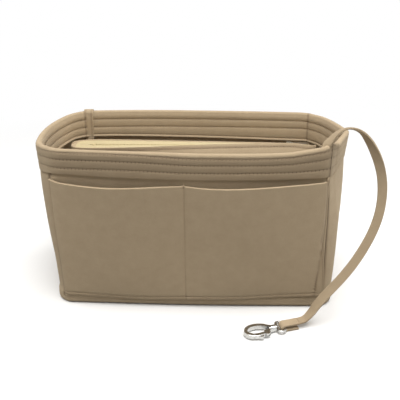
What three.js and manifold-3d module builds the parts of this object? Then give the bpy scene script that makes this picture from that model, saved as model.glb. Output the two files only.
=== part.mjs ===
// A felt handbag organiser: an open felt tub with a folded, stitched rim band, a wide patch pocket
// in front, a loose zipped pouch inside, and a key strap that ends in a swivel snap hook.
// Millimetres, +X to the right, +Y to the back, +Z up; the origin is the middle of the base's underside.

import * as THREE from "three";
import { mergeVertices } from "three/addons/utils/BufferGeometryUtils.js";
import Module from "manifold-3d";

// The tub's driving dimensions. The rim's length and depth are taken over its band.
const rimLength = 289.4;
const rimDepth = 136.4;
const baseLength = 276;
const baseDepth = 120;
const bagHeight = 164;
const cornerRadius = 17;
const frontBow = 9;
const backBow = 6.6;
const sideBow = 12.3;
const baseFrontBow = 3.6;
const baseBackBow = 2.6;

// Felt and gaps
const wallThickness = 2;
const bandThickness = 1.3;
const baseThickness = 2.4;
const boardThickness = 2.5;
const clearance = 0.3;

// Rim band, folded over the walls
const outerLeafHeight = 25.6;
const innerLeafHeight = 29;
const joinStripWidth = 9;
const joinStripThickness = 1.3;
const joinStripOverhang = 2.5;

// Corner seams: two turned-out felt edges sewn face to face
const seamDepth = 2.4;
const seamEdgeWidth = 1.3;
const seamStepWidth = 0.3;
const frontRightSeamShare = 0.22;
const backRightSeamShare = 0.86;
const backLeftSeamShare = 0.14;
const frontLeftSeamShare = 0.69;

// Front patch pocket, sewn at its sides, foot and middle
const pocketThickness = 2.2;
const pocketFoot = 9;
const pocketTopGap = 3.9;
const pocketDipHeight = 2.7;
const pocketMiddleDrop = 1.15;
const pocketMiddleShare = 0.476;
const pocketStandOff = 5;
const pocketInset = 0.6;

// Zipped pouch
const pouchEndRoom = 9.6;
const pouchTopDepth = 25;
const pouchBellyDepth = 34;
const pouchFootDepth = 8;
const pouchTopHeight = 138.6;
const pouchCentreY = 33;
const pouchThickness = 2;
const tapeThickness = 0.8;
const tapeDrop = 2;
const frontEdgeDropLeft = 1.4;
const frontEdgeRiseRight = 3.4;
const pouchEndPower = 7;

// Zip: two rows of teeth, a slider with a middle post, its bail and its pull tab
const toothRowWidth = 1.8;
const toothRowHeight = 2;
const toothSlot = 1.4;
const toothEndInset = 21;
const stopLength = 3;
const sliderLength = 12;
const sliderWidth = 9.4;
const sliderTailWidth = 7.6;
const sliderPlate = 1;
const sliderGap = 0.35;
const sliderLipWidth = 0.9;
const sliderLipDrop = 0.6;
const sliderPostWidth = 0.8;
const sliderPostLength = 3;
const sliderRestGap = 1;
const bailWidth = 1.6;
const bailBar = 0.8;
const bailLength = 6.2;
const pullLength = 20;
const pullWidth = 7;
const pullThickness = 1;
const pullCrossbar = 0.9;
const pullEyeLength = 3.7;
const pullEyeWidth = 3;

// Key strap and snap hook
const strapWidth = 8;
const strapThickness = 2.2;
const strapLoopTail = 14;
const eyeBar = 2.2;
const eyeInnerLength = 4.2;
const eyeInnerWidth = 10.4;
const eyeCorner = 1.4;
const eyeBevel = 0.6;
const loopFloorGap = 0.2;
const stemRadius = 1.4;
const stemHeadRadius = 2.3;
const stemHeadLength = 1.4;
const collarRadius = 3.2;
const collarLength = 4.6;
const collarGap = 0.6;
const hookLength = 26;
const hookWidth = 16;
const hookThickness = 4.2;
const hookBar = 3.3;
const hookBevel = 0.5;
const headRoomLength = 2.6;
const gatePivotAlong = 5.4;
const gatePivotAcross = 5;
const gateNoseAlong = 18.4;
const gateCut = 1;
const gateGap = 0.45;
const gateTailRadius = 2.4;
const gateTailThickness = 1.8;
const gateSlot = 2.4;
const cheekRadius = 3;
const nubLength = 4.5;
const nubHeight = 2.2;
const pinRadius = 0.75;
const pinGap = 0.25;
const springWire = 0.36;
const springRadius = 1.35;
const springRecess = 1.2;
const springTurns = 2;
const claspTurnDegrees = 196.7;
const claspX = 86;
const claspY = -92;

// How finely curved faces are drawn, in steps
const sideSteps = 8;
const turnSteps = 6;
const wallSteps = 4;
const roundSteps = 20;
const bevelSteps = 2;
const splineSteps = 3;
const strapSteps = 2;
const springSteps = 10;
const springSides = 6;
const cutOverrun = 5;

// Places that follow from the sizes above
const bandStand = bandThickness + clearance;
const rimHalfThickness = bandStand + wallThickness / 2;
const wallFoot = baseThickness + clearance;
const wallTop = bagHeight - bandThickness - 2 * clearance;
const outerHem = bagHeight - outerLeafHeight;
const innerHem = bagHeight - innerLeafHeight;
const boardFoot = baseThickness + clearance;
const pouchFoot = boardFoot + boardThickness + clearance;
const tubInnerLength = Math.min(baseLength, rimLength - 2 * bandStand) - 2 * wallThickness;
const pouchLength = tubInnerLength - 2 * pouchEndRoom;

const wasm = await Module();
wasm.setup();

const felt = () => new THREE.MeshStandardMaterial({ color: "#a3917a", roughness: 0.95, metalness: 0 });
const board = () => new THREE.MeshStandardMaterial({ color: "#8d7d68", roughness: 0.9, metalness: 0 });
const zipTape = () => new THREE.MeshStandardMaterial({ color: "#ead9ad", roughness: 0.8, metalness: 0 });
const nylon = () => new THREE.MeshStandardMaterial({ color: "#e4d2a2", roughness: 0.5, metalness: 0 });
const silver = () => new THREE.MeshStandardMaterial({ color: "#c9cacc", roughness: 0.25, metalness: 1 });

// Joining and cutting

function toSolid(geometry) {
  const bare = geometry.clone();
  bare.deleteAttribute("normal");
  bare.deleteAttribute("uv");
  const merged = mergeVertices(bare, 1e-4);
  return new wasm.Manifold(
    new wasm.Mesh({
      numProp: 3,
      vertProperties: new Float32Array(merged.attributes.position.array),
      triVerts: new Uint32Array(merged.index.array),
    }),
  );
}

function toGeometry(solid) {
  const mesh = solid.getMesh();
  const geometry = new THREE.BufferGeometry();
  geometry.setAttribute("position", new THREE.BufferAttribute(new Float32Array(mesh.vertProperties), 3));
  geometry.setIndex(new THREE.BufferAttribute(new Uint32Array(mesh.triVerts), 1));
  geometry.computeVertexNormals();
  return geometry;
}

const join = (first, ...others) =>
  toGeometry(others.reduce((made, other) => made.add(toSolid(other)), toSolid(first)));
const cut = (first, ...others) =>
  toGeometry(others.reduce((made, other) => made.subtract(toSolid(other)), toSolid(first)));
const common = (first, other) => toGeometry(toSolid(first).intersect(toSolid(other)));

// Closed meshes from points

function closedMesh(points, faces) {
  let volume = 0;
  for (const [a, b, c] of faces) volume += points[a].dot(points[b].clone().cross(points[c])) / 6;
  const outward = volume > 0 ? faces : faces.map(([a, b, c]) => [a, c, b]);
  const geometry = new THREE.BufferGeometry().setFromPoints(points);
  geometry.setIndex(outward.flat());
  geometry.computeVertexNormals();
  return geometry;
}

// A slab between an outer and an inner face: at(u, v, side) gives a point, side 1 is the outer face.
function slab(us, vs, at) {
  const points = [];
  const faces = [];
  const index = (i, j, side) => (side * us.length + i) * vs.length + j;
  for (const side of [0, 1]) for (const u of us) for (const v of vs) points.push(at(u, v, side));
  const quad = (a, b, c, d) => faces.push([a, b, c], [a, c, d]);
  const lastU = us.length - 1;
  const lastV = vs.length - 1;
  for (let i = 0; i < lastU; i++)
    for (let j = 0; j < lastV; j++) {
      quad(index(i, j, 1), index(i + 1, j, 1), index(i + 1, j + 1, 1), index(i, j + 1, 1));
      quad(index(i, j, 0), index(i, j + 1, 0), index(i + 1, j + 1, 0), index(i + 1, j, 0));
    }
  for (let i = 0; i < lastU; i++) {
    quad(index(i, 0, 0), index(i + 1, 0, 0), index(i + 1, 0, 1), index(i, 0, 1));
    quad(index(i, lastV, 1), index(i + 1, lastV, 1), index(i + 1, lastV, 0), index(i, lastV, 0));
  }
  for (let j = 0; j < lastV; j++) {
    quad(index(0, j, 1), index(0, j + 1, 1), index(0, j + 1, 0), index(0, j, 0));
    quad(index(lastU, j, 0), index(lastU, j + 1, 0), index(lastU, j + 1, 1), index(lastU, j, 1));
  }
  return closedMesh(points, faces);
}

// A closed profile carried through a row of places: at(place, corner) gives a point.
function sweep(places, profile, at) {
  const points = places.flatMap((place) => profile.map((corner) => at(place, corner)));
  const sides = profile.length;
  const faces = [];
  for (let i = 0; i + 1 < places.length; i++)
    for (let j = 0; j < sides; j++) {
      const k = (j + 1) % sides;
      const [a, b, c, d] = [i * sides + j, i * sides + k, (i + 1) * sides + k, (i + 1) * sides + j];
      faces.push([a, b, c], [a, c, d]);
    }
  const last = (places.length - 1) * sides;
  for (const [a, b, c] of THREE.ShapeUtils.triangulateShape(profile, [])) {
    faces.push([a, c, b]);
    faces.push([last + a, last + b, last + c]);
  }
  return matchCaps(points, faces, profile);
}

// Earcut gives its triangles the profile's own turn, so a clockwise profile has its caps turned round.
function matchCaps(points, faces, profile) {
  const clockwise = THREE.ShapeUtils.isClockWise(profile);
  const capFaces = 2 * (profile.length - 2);
  const sideFaces = faces.slice(0, faces.length - capFaces);
  const caps = faces.slice(faces.length - capFaces);
  return closedMesh(points, [...sideFaces, ...(clockwise ? caps.map(([a, b, c]) => [a, c, b]) : caps)]);
}

const evenly = (from, to, steps) =>
  Array.from({ length: steps + 1 }, (_, i) => from + ((to - from) * i) / steps);
const mix = (low, high, share) => low + (high - low) * share;

function box(x0, x1, y0, y1, z0, z1) {
  const made = new THREE.BoxGeometry(x1 - x0, y1 - y0, z1 - z0);
  return made.translate((x0 + x1) / 2, (y0 + y1) / 2, (z0 + z1) / 2);
}

function disc(radius, x, y, z0, z1) {
  const made = new THREE.CylinderGeometry(radius, radius, z1 - z0, roundSteps);
  return made.rotateX(Math.PI / 2).translate(x, y, (z0 + z1) / 2);
}

function rod(radius, x0, x1, z) {
  const made = new THREE.CylinderGeometry(radius, radius, x1 - x0, roundSteps);
  return made.rotateZ(Math.PI / 2).translate((x0 + x1) / 2, 0, z);
}

function plate(outline, z0, z1) {
  const shape = new THREE.Shape(outline);
  return new THREE.ExtrudeGeometry(shape, { depth: z1 - z0, bevelEnabled: false }).translate(0, 0, z0);
}

// The tub's outline

// One run round the tub: turn 0 to 1 is the front side, 1 to 2 the front right corner, and so on
// through the right side, the back and the left side to 8. Offset is measured out from the wall.
function outlinePoint(turn, z, offset) {
  const rise = z / bagHeight;
  const front = mix(baseFrontBow, frontBow, rise);
  const back = mix(baseBackBow, backBow, rise);
  const side = sideBow * rise;
  const length = mix(baseLength, rimLength - 2 * bandStand, rise);
  const depth = mix(baseDepth, rimDepth - 2 * bandStand, rise);
  const halfLength = length / 2 - side + offset;
  const halfDepth = (depth - front - back) / 2 + offset;
  const radius = cornerRadius + offset;
  const quarter = ((Math.floor(turn / 2) % 4) + 4) % 4;
  const along = turn - 2 * Math.floor(turn / 2);
  const [run, reach] = quarter % 2 ? [halfDepth, halfLength] : [halfLength, halfDepth];
  const angle = (Math.max(along - 1, 0) * Math.PI) / 2;
  const a = along <= 1 ? (2 * along - 1) * (run - radius) : run - radius + radius * Math.sin(angle);
  const b = reach - radius + radius * Math.cos(angle);
  const [x, y] = [
    [a, -b],
    [b, a],
    [-a, b],
    [-b, -a],
  ][quarter];
  const u = x / halfLength;
  const v = y / halfDepth;
  const bowY = (y < 0 ? -front : back) * (1 - u * u) * v * v;
  const bowX = Math.sign(x) * side * (1 - v * v) * u * u;
  return new THREE.Vector3(x + bowX, y + bowY + (front - back) / 2, z);
}

// The turns between two places on the outline at which faces break
function turnsBetween(from, to, steps = sideSteps) {
  const breaks = [];
  for (let quarter = Math.floor(from / 2); quarter <= to / 2; quarter++) {
    breaks.push(...evenly(2 * quarter, 2 * quarter + 1, steps));
    breaks.push(...evenly(2 * quarter + 1, 2 * quarter + 2, turnSteps));
  }
  const leastShare = 0.01;
  const single = breaks.filter((turn, i) => breaks.indexOf(turn) === i);
  return [from, ...single.filter((turn) => turn > from + leastShare && turn < to - leastShare), to];
}

// A length along a corner's arc, as a share of that corner's turn
const cornerShare = (length) => length / ((cornerRadius * Math.PI) / 2);

const wholeTurn = 8;
const seams = {
  frontRight: 1 + frontRightSeamShare,
  backRight: 3 + backRightSeamShare,
  backLeft: 5 + backLeftSeamShare,
  frontLeft: 7 + frontLeftSeamShare,
};
const seamGap = cornerShare(clearance / 2);
const seamEdge = cornerShare(seamEdgeWidth);
const seamStep = cornerShare(seamStepWidth);
const between = (from, to) => [from + seamGap, to - seamGap];
const walls = {
  front: between(seams.frontLeft - wholeTurn, seams.frontRight),
  right: between(seams.frontRight, seams.backRight),
  back: between(seams.backRight, seams.backLeft),
  left: between(seams.backLeft, seams.frontLeft),
};

// The band runs round the front left corner in one length, so it has three seams.
const bands = {
  frontLeft: between(seams.backLeft - wholeTurn, seams.frontRight),
  right: walls.right,
  back: walls.back,
};

function wallStrip(from, to, inner, outer, low, high) {
  return slab(turnsBetween(from, to), evenly(low, high, wallSteps), (turn, z, side) =>
    outlinePoint(turn, z, side ? outer : inner),
  );
}

// A wall's breaks, with a narrow step at each end, where its turned-out seam edge stands proud
function seamedTurns([from, to]) {
  const inside = turnsBetween(from + seamEdge + seamStep, to - seamEdge - seamStep);
  return [from, from + seamEdge, ...inside, to - seamEdge, to];
}

const onSeamEdge = (turn, [from, to]) => turn <= from + seamEdge || turn >= to - seamEdge;

// One wall with its seam edges, which end under the rim band
function wallPanel(side) {
  const edgeTop = outerHem - clearance;
  const heights = [...evenly(wallFoot, edgeTop, wallSteps), outerHem, wallTop];
  return slab(seamedTurns(side), heights, (turn, z, outer) => {
    const proud = onSeamEdge(turn, side) && z < outerHem ? seamDepth : 0;
    return outlinePoint(turn, z, outer ? proud : -wallThickness);
  });
}

// One length of the rim band: two leaves and the round fold over the wall's top edge
function rimBand([from, to]) {
  const middle = -wallThickness / 2;
  const foldFoot = bagHeight - rimHalfThickness;
  const fold = evenly(0, Math.PI, turnSteps).map(
    (angle) =>
      new THREE.Vector2(middle + rimHalfThickness * Math.cos(angle), foldFoot + rimHalfThickness * Math.sin(angle)),
  );
  const profile = [
    new THREE.Vector2(bandStand, outerHem),
    ...fold,
    new THREE.Vector2(-wallThickness - bandStand, innerHem),
    new THREE.Vector2(-wallThickness - clearance, innerHem),
    new THREE.Vector2(-wallThickness - clearance, wallTop + clearance),
    new THREE.Vector2(clearance, wallTop + clearance),
    new THREE.Vector2(clearance, outerHem),
  ];
  return sweep(turnsBetween(from, to), profile, (turn, corner) => outlinePoint(turn, corner.y, corner.x));
}

// The short felt strip that covers the join of the inner leaf, at the back left corner
function bandJoinStrip() {
  const inner = -wallThickness - bandStand - clearance;
  const corner = Math.floor(seams.backLeft);
  return wallStrip(
    corner,
    corner + cornerShare(joinStripWidth),
    inner - joinStripThickness,
    inner,
    innerHem - joinStripOverhang,
    bagHeight - rimHalfThickness,
  );
}

function basePanel() {
  const round = turnsBetween(0, wholeTurn).slice(0, -1);
  const profile = round.map((turn) => {
    const p = outlinePoint(turn, 0, 0);
    return new THREE.Vector2(p.x, p.y);
  });
  return plate(profile, 0, baseThickness);
}

function baseBoard() {
  const inset = -wallThickness - 2 * clearance;
  const round = turnsBetween(0, wholeTurn).slice(0, -1);
  const profile = round.map((turn) => {
    const p = outlinePoint(turn, 0, inset);
    return new THREE.Vector2(p.x, p.y);
  });
  return plate(profile, boardFoot, boardFoot + boardThickness);
}

// The patch pocket stands off between its stitch lines, most at its mouth.
function frontPocket() {
  const from = walls.front[0] + seamEdge + cornerShare(pocketInset);
  const to = walls.front[1] - seamEdge - cornerShare(pocketInset);
  const acrossShare = (turn) =>
    turn < pocketMiddleShare ? (turn - from) / (pocketMiddleShare - from) : (to - turn) / (to - pocketMiddleShare);
  const topAt = (turn) => {
    const share = acrossShare(turn);
    const dip = pocketDipHeight * Math.sin(Math.PI * share * share);
    return outerHem - pocketTopGap - pocketMiddleDrop * share - dip;
  };
  const at = (turn, share, side) => {
    const swell = pocketStandOff * Math.sqrt(Math.sin(Math.PI * acrossShare(turn))) * Math.sqrt(share);
    return outlinePoint(turn, mix(pocketFoot, topAt(turn), share), clearance + swell + side * pocketThickness);
  };
  return slab(turnsBetween(from, to, 2 * sideSteps), evenly(0, 1, 2 * wallSteps), at);
}

// The pouch

const zipZ = pouchTopHeight - tapeDrop;
const tapeFoot = zipZ - tapeThickness;
const zipMiddle = zipZ - tapeThickness / 2;

function pouchHalfDepth(z) {
  const share = (z - pouchFoot) / (pouchTopHeight - pouchFoot);
  const chord = mix(pouchFootDepth, pouchTopDepth, share) / 2;
  const swell = pouchBellyDepth / 2 - mix(pouchFootDepth, pouchTopDepth, 1 / 2) / 2;
  return chord + swell * Math.sin(Math.PI * share);
}

const endTaper = (x, halfLength) => Math.sqrt(Math.max(1 - Math.abs(x / halfLength) ** pouchEndPower, 0));

// Shares of the pouch's half length at which its faces break, closer towards its round ends
const pouchBreakShares = [0, 0.35, 0.6, 0.74, 0.83, 0.89, 0.935, 0.965, 0.985, 1];
const pouchShares = [...pouchBreakShares.slice(1).map((s) => -s).reverse(), ...pouchBreakShares];

// The front's top edge sags a little on the left and stands up on the right, over the zip.
const frontEdge = (share) => pouchTopHeight + mix(-frontEdgeDropLeft, frontEdgeRiseRight, (share + 1) / 2);

// One felt side of the pouch; way is -1 for the front and 1 for the back.
function pouchSide(way) {
  const seam = clearance / 2;
  return slab(pouchShares, evenly(0, 1, 2 * wallSteps), (share, rise, side) => {
    const inset = side ? 0 : pouchThickness;
    const halfLength = pouchLength / 2 - inset;
    const z = mix(pouchFoot, way < 0 ? frontEdge(share) : pouchTopHeight, rise);
    const depth = Math.max(pouchHalfDepth(z) - inset - seam, 0);
    const x = share * halfLength;
    return new THREE.Vector3(x, pouchCentreY + way * (seam + depth * endTaper(x, halfLength)), z);
  });
}

const toothOuter = toothSlot / 2 + toothRowWidth;
const toothHalfLength = pouchLength / 2 - toothEndInset;

// A zip tape fills the mouth from the felt's inner face to its row of teeth.
function zipperTape(way) {
  const inset = pouchThickness + clearance;
  const halfLength = pouchLength / 2 - inset;
  const inner = toothOuter + clearance;
  const reach = pouchHalfDepth(tapeFoot) - inset - clearance;
  const endShare = (1 - ((inner + clearance) / reach) ** 2) ** (1 / pouchEndPower);
  const shares = pouchShares.map((share) => share * endShare);
  return slab(shares, [0, 1], (share, v, side) => {
    const x = share * halfLength;
    const outer = reach * endTaper(x, halfLength);
    return new THREE.Vector3(x, pouchCentreY + way * (v ? outer : inner), side ? zipZ : tapeFoot);
  });
}

function toothRow(way) {
  const near = way * (toothSlot / 2);
  const far = way * toothOuter;
  return box(
    -toothHalfLength,
    toothHalfLength,
    pouchCentreY + Math.min(near, far),
    pouchCentreY + Math.max(near, far),
    zipMiddle - toothRowHeight / 2,
    zipMiddle + toothRowHeight / 2,
  );
}

// A crimped stop at one end of the teeth, across the rows from nearY to farY
function zipperStop(end, nearY, farY) {
  const start = toothHalfLength + clearance;
  const [x0, x1] = end > 0 ? [start, start + stopLength] : [-start - stopLength, -start];
  const half = toothRowHeight / 2;
  return box(x0, x1, pouchCentreY + nearY, pouchCentreY + farY, zipMiddle - half, zipMiddle + half);
}

const sliderX = toothHalfLength - sliderRestGap - sliderLength / 2;
const sliderTop = zipMiddle + toothRowHeight / 2 + sliderGap + sliderPlate;
const pullPivotZ = sliderTop + sliderGap + pullCrossbar / 2;

// Slider: top and bottom plates on a middle post that runs between the rows, with a bail on top
function zipSlider() {
  const half = sliderLength / 2;
  const outline = [
    [-half, sliderTailWidth / 2],
    [-half, -sliderTailWidth / 2],
    [half - sliderLipWidth, -sliderWidth / 2],
    [half, -sliderTailWidth / 2],
    [half, sliderTailWidth / 2],
    [half - sliderLipWidth, sliderWidth / 2],
  ].map(([x, y]) => new THREE.Vector2(x, y));
  const plateInner = toothRowHeight / 2 + sliderGap;
  const top = plate(outline, plateInner, plateInner + sliderPlate);
  const bottom = plate(outline, -plateInner - sliderPlate, -plateInner);
  const postHalf = sliderPostWidth / 2;
  const post = box(
    half - sliderPostLength,
    half - sliderLipWidth,
    -postHalf,
    postHalf,
    -plateInner - sliderPlate / 2,
    plateInner + sliderPlate / 2,
  );
  const lip = (way) => {
    const inner = way * (toothOuter + sliderGap);
    const outer = inner + way * sliderLipWidth;
    const foot = plateInner - sliderLipDrop;
    const edge = half - 2 * sliderLipWidth;
    return box(-edge, edge, Math.min(inner, outer), Math.max(inner, outer), foot, plateInner + sliderPlate / 2);
  };
  const bailFoot = plateInner + sliderPlate / 2;
  const bailRoom = plateInner + sliderPlate + 2 * sliderGap + pullCrossbar;
  const bailTop = bailRoom + bailBar;
  const bailHalf = bailLength / 2;
  const arch = cut(
    box(-bailHalf, bailHalf, -bailWidth / 2, bailWidth / 2, bailFoot, bailTop),
    box(-bailHalf + bailBar, bailHalf - bailBar, -bailWidth, bailWidth, plateInner + sliderPlate, bailRoom),
  );
  return join(top, post, bottom, lip(1), lip(-1), arch).translate(sliderX, pouchCentreY, zipMiddle);
}

// Pull tab: its round crossbar lies under the bail and its eye lets the bail through.
function zipPull() {
  const half = pullWidth / 2;
  const eyeHalf = pullEyeWidth / 2;
  const start = pullCrossbar / 2;
  const corner = half / 2;
  const outline = [
    [0, -eyeHalf - pullThickness],
    [pullEyeLength, -eyeHalf - pullThickness],
    [pullEyeLength + corner, -half],
    [pullLength - corner, -half],
    [pullLength, -half + corner],
    [pullLength, half - corner],
    [pullLength - corner, half],
    [pullEyeLength + corner, half],
    [pullEyeLength, eyeHalf + pullThickness],
    [0, eyeHalf + pullThickness],
  ].map(([x, y]) => new THREE.Vector2(x, y));
  const eye = [
    [-start, -eyeHalf],
    [-start, eyeHalf],
    [start + pullEyeLength, eyeHalf],
    [start + pullEyeLength, -eyeHalf],
  ].map(([x, y]) => new THREE.Vector2(x, y));
  const tab = cut(
    plate(outline, -pullThickness / 2, pullThickness / 2),
    plate(eye, -pullThickness, pullThickness),
  );
  const reach = eyeHalf + pullThickness;
  const bar = new THREE.CylinderGeometry(start, start, 2 * reach, roundSteps / 2);
  return join(tab, bar).translate(sliderX, pouchCentreY, pullPivotZ);
}

// Key strap

// The strap's route from the rim to its end loop, and the way its sewn-in face looks at each point
const strapRoute = [
  [115, -57.5, 164.9],
  [115.2, -57.5, 166.7],
  [118.1, -57, 171.4],
  [123.6, -55.6, 177.4],
  [130, -53, 179.6],
  [137.4, -50.9, 179.2],
  [144.9, -50, 175.7],
  [151.4, -50.6, 168.6],
  [157.2, -52, 159.4],
  [162.6, -53.4, 148],
  [166.4, -55.2, 134.8],
  [167.8, -58, 120],
  [166.2, -62, 104.6],
  [161.6, -66.4, 89.8],
  [154.8, -70.8, 75.8],
  [146.8, -75, 62.8],
  [138.4, -78.4, 51.4],
  [129.8, -80.8, 40.6],
  [122, -82.6, 31],
  [115.9, -83.9, 21.9],
  [111.2, -84.9, 14],
  [105.7, -86.2, 7.8],
];
const strapFaceShares = [
  [-0.25, -0.95, 0.1],
  [-0.62, -0.71, 0.35],
  [-0.73, -0.28, 0.62],
  [-0.59, 0.11, 0.8],
  [-0.22, 0.28, 0.93],
  [0.2, 0.26, 0.95],
  [0.58, 0.26, 0.77],
  [0.71, 0.53, 0.47],
  [0.67, 0.7, 0.27],
  [0.63, 0.76, 0.14],
  [0.35, 0.9, -0.15],
  [0.15, 0.92, -0.3],
  [0, 0.92, -0.38],
  [0, 0.92, -0.38],
  [0.05, 0.9, -0.42],
  [0.1, 0.86, -0.5],
  [0.1, 0.8, -0.58],
  [0.1, 0.7, -0.7],
  [0.1, 0.55, -0.83],
  [0.08, 0.35, -0.93],
  [0.04, 0.15, -0.98],
  [0, 0, -1],
];

const vectors = (list) => list.map(([x, y, z]) => new THREE.Vector3(x, y, z));

function strapAt() {
  const route = new THREE.CatmullRomCurve3([...vectors(strapRoute), loopTailEnd()], false, "centripetal");
  const looks = new THREE.CatmullRomCurve3([...vectors(strapFaceShares), new THREE.Vector3(0, 0, -1)]);
  const steps = strapSteps * strapRoute.length;
  return evenly(0, 1, steps).map((share) => {
    const middle = route.getPoint(share);
    const along = route.getTangent(share);
    const across = along.clone().cross(looks.getPoint(share)).normalize();
    return { middle, across, face: across.clone().cross(along).normalize() };
  });
}

// A flat section with eased corners, as shares of the strap's half width and half thickness
const strapSectionShares = [
  [-1, -0.5],
  [-0.94, -1],
  [0.94, -1],
  [1, -0.5],
  [1, 0.5],
  [0.94, 1],
  [-0.94, 1],
  [-1, 0.5],
];

function strapSection() {
  return strapSectionShares.map(
    ([u, v]) => new THREE.Vector2((u * strapWidth) / 2, (v * strapThickness) / 2),
  );
}

function keyStrap() {
  return sweep(strapAt(), strapSection(), ({ middle, across, face }, corner) =>
    middle.clone().addScaledVector(across, corner.x).addScaledVector(face, corner.y),
  );
}

// Snap hook, drawn along +X from the bar that the strap's loop goes round, at z = 0

const loopInner = Math.hypot(eyeBar / 2, eyeBar / 2 - eyeBevel) + clearance;
const loopOuter = loopInner + strapThickness;
const claspZ = loopFloorGap + loopOuter;
const claspTurn = THREE.MathUtils.degToRad(claspTurnDegrees);
const toWorld = (x, y, z) =>
  new THREE.Vector3(x, y, z).applyAxisAngle(new THREE.Vector3(0, 0, 1), claspTurn)
    .add(new THREE.Vector3(claspX, claspY, claspZ));

// The strap ends against the upper layer of its sewn end loop.
function loopTailEnd() {
  return toWorld(-strapLoopTail - clearance, 0, loopInner + strapThickness / 2);
}

// The strap's end, folded round the eye's bar and sewn flat on itself
function strapEndLoop() {
  const bend = evenly(-Math.PI / 2, Math.PI / 2, 2 * turnSteps);
  const outside = bend.map((a) => new THREE.Vector2(loopOuter * Math.cos(a), loopOuter * Math.sin(a)));
  const inside = bend.map((a) => new THREE.Vector2(loopInner * Math.cos(a), loopInner * Math.sin(a))).reverse();
  const profile = [
    new THREE.Vector2(-strapLoopTail, -loopOuter),
    ...outside,
    new THREE.Vector2(-strapLoopTail, loopOuter),
    new THREE.Vector2(-strapLoopTail, loopInner),
    ...inside,
    new THREE.Vector2(-strapLoopTail / 2, -loopInner),
    new THREE.Vector2(-strapLoopTail, -loopInner - strapThickness / 4),
  ];
  return sweep([-strapWidth / 2, strapWidth / 2], profile, (y, corner) =>
    new THREE.Vector3(corner.x, y, corner.y),
  );
}

function roundedBox(halfX, halfY, radius) {
  const corners = [
    [halfX - radius, -halfY + radius, -Math.PI / 2],
    [halfX - radius, halfY - radius, 0],
    [-halfX + radius, halfY - radius, Math.PI / 2],
    [-halfX + radius, -halfY + radius, Math.PI],
  ];
  return corners.flatMap(([x, y, start]) =>
    evenly(start, start + Math.PI / 2, turnSteps).map(
      (a) => new THREE.Vector2(x + radius * Math.cos(a), y + radius * Math.sin(a)),
    ),
  );
}

const eyeCentre = eyeBar / 2 + eyeInnerLength / 2;
const eyeFront = eyeCentre + eyeInnerLength / 2 + eyeBar;
const collarBack = eyeFront + collarGap;
const hookStart = collarBack + collarLength;
const headBack = hookStart + clearance;

// Eye: a rounded wire frame with a headed stem that turns in the hook's collar
function swivelEye() {
  const shift = ([...points]) => points.map((p) => new THREE.Vector2(p.x + eyeCentre, p.y));
  const outer = roundedBox(eyeInnerLength / 2 + eyeBar, eyeInnerWidth / 2 + eyeBar, eyeCorner + eyeBar);
  const inner = roundedBox(eyeInnerLength / 2, eyeInnerWidth / 2, eyeCorner);
  const shape = new THREE.Shape(shift(outer));
  shape.holes = [new THREE.Path(shift(inner))];
  const frame = new THREE.ExtrudeGeometry(shape, {
    depth: eyeBar - 2 * eyeBevel,
    bevelThickness: eyeBevel,
    bevelSize: eyeBevel,
    bevelOffset: -eyeBevel,
    bevelSegments: bevelSteps,
  }).translate(0, 0, eyeBevel - eyeBar / 2);
  const stem = rod(stemRadius, eyeFront - eyeBar / 2, headBack + stemHeadLength / 2, 0);
  const head = rod(stemHeadRadius, headBack, headBack + stemHeadLength, 0);
  return join(frame, stem, head);
}

// Half outlines of the hook and of its opening, as shares of their length and half width
const hookOutlineShares = [
  [-0.04, 0.36],
  [0.05, 0.46],
  [0.2, 0.78],
  [0.42, 0.98],
  [0.62, 1],
  [0.8, 0.84],
  [0.93, 0.52],
  [1, 0],
];
const hookOpeningShares = [
  [0, 0.34],
  [0.14, 0.6],
  [0.36, 0.93],
  [0.6, 1],
  [0.8, 0.84],
  [0.94, 0.46],
  [1, 0],
];

function mirrored(shares, start, length, halfWidth) {
  const half = new THREE.SplineCurve(
    shares.map(([x, y]) => new THREE.Vector2(start + x * length, y * halfWidth)),
  ).getPoints(splineSteps * shares.length);
  const other = half.slice(0, -1).map((p) => new THREE.Vector2(p.x, -p.y)).reverse();
  return [...half, ...other];
}

const openingStart = hookStart + headRoomLength;
const hookOutline = () => mirrored(hookOutlineShares, hookStart, hookLength, hookWidth / 2);
const openingOutline = () =>
  mirrored(hookOpeningShares, openingStart, hookLength - headRoomLength - hookBar, hookWidth / 2 - hookBar);
const pivotX = hookStart + gatePivotAlong;
const noseX = hookStart + gateNoseAlong;
const half = hookThickness / 2;

function hookRing() {
  const made = new THREE.ExtrudeGeometry(new THREE.Shape(hookOutline()), {
    depth: hookThickness - 2 * hookBevel,
    bevelThickness: hookBevel,
    bevelSize: hookBevel,
    bevelOffset: -hookBevel,
    bevelSegments: bevelSteps,
  }).translate(0, 0, hookBevel - half);
  return cut(made, plate(openingOutline(), -half - cutOverrun, half + cutOverrun));
}

// The stretch of the ring's side that the gate takes over, grown by a gap
const gateStretch = (gap) =>
  box(pivotX - gap, noseX + gap, gateCut - gap, hookWidth, -half - cutOverrun, half + cutOverrun);

function hookBody() {
  const collar = rod(collarRadius, collarBack, hookStart + hookBevel, 0);
  const headRoom = rod(stemHeadRadius + clearance, hookStart, openingStart + hookBar, 0);
  const bore = rod(stemRadius + clearance, collarBack - cutOverrun, hookStart + cutOverrun, 0);
  const cheeks = disc(cheekRadius, pivotX, gatePivotAcross, -half, half);
  const slot = box(
    pivotX - gateTailRadius - gateGap,
    noseX,
    gatePivotAcross - gateTailRadius - gateGap,
    hookWidth,
    -gateSlot / 2,
    gateSlot / 2,
  );
  const pinBore = disc(pinRadius + pinGap, pivotX, gatePivotAcross, -half - cutOverrun, half + cutOverrun);
  const opened = join(cut(hookRing(), gateStretch(0)), cheeks, collar);
  return cut(opened, slot, pinBore, headRoom, bore);
}

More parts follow.
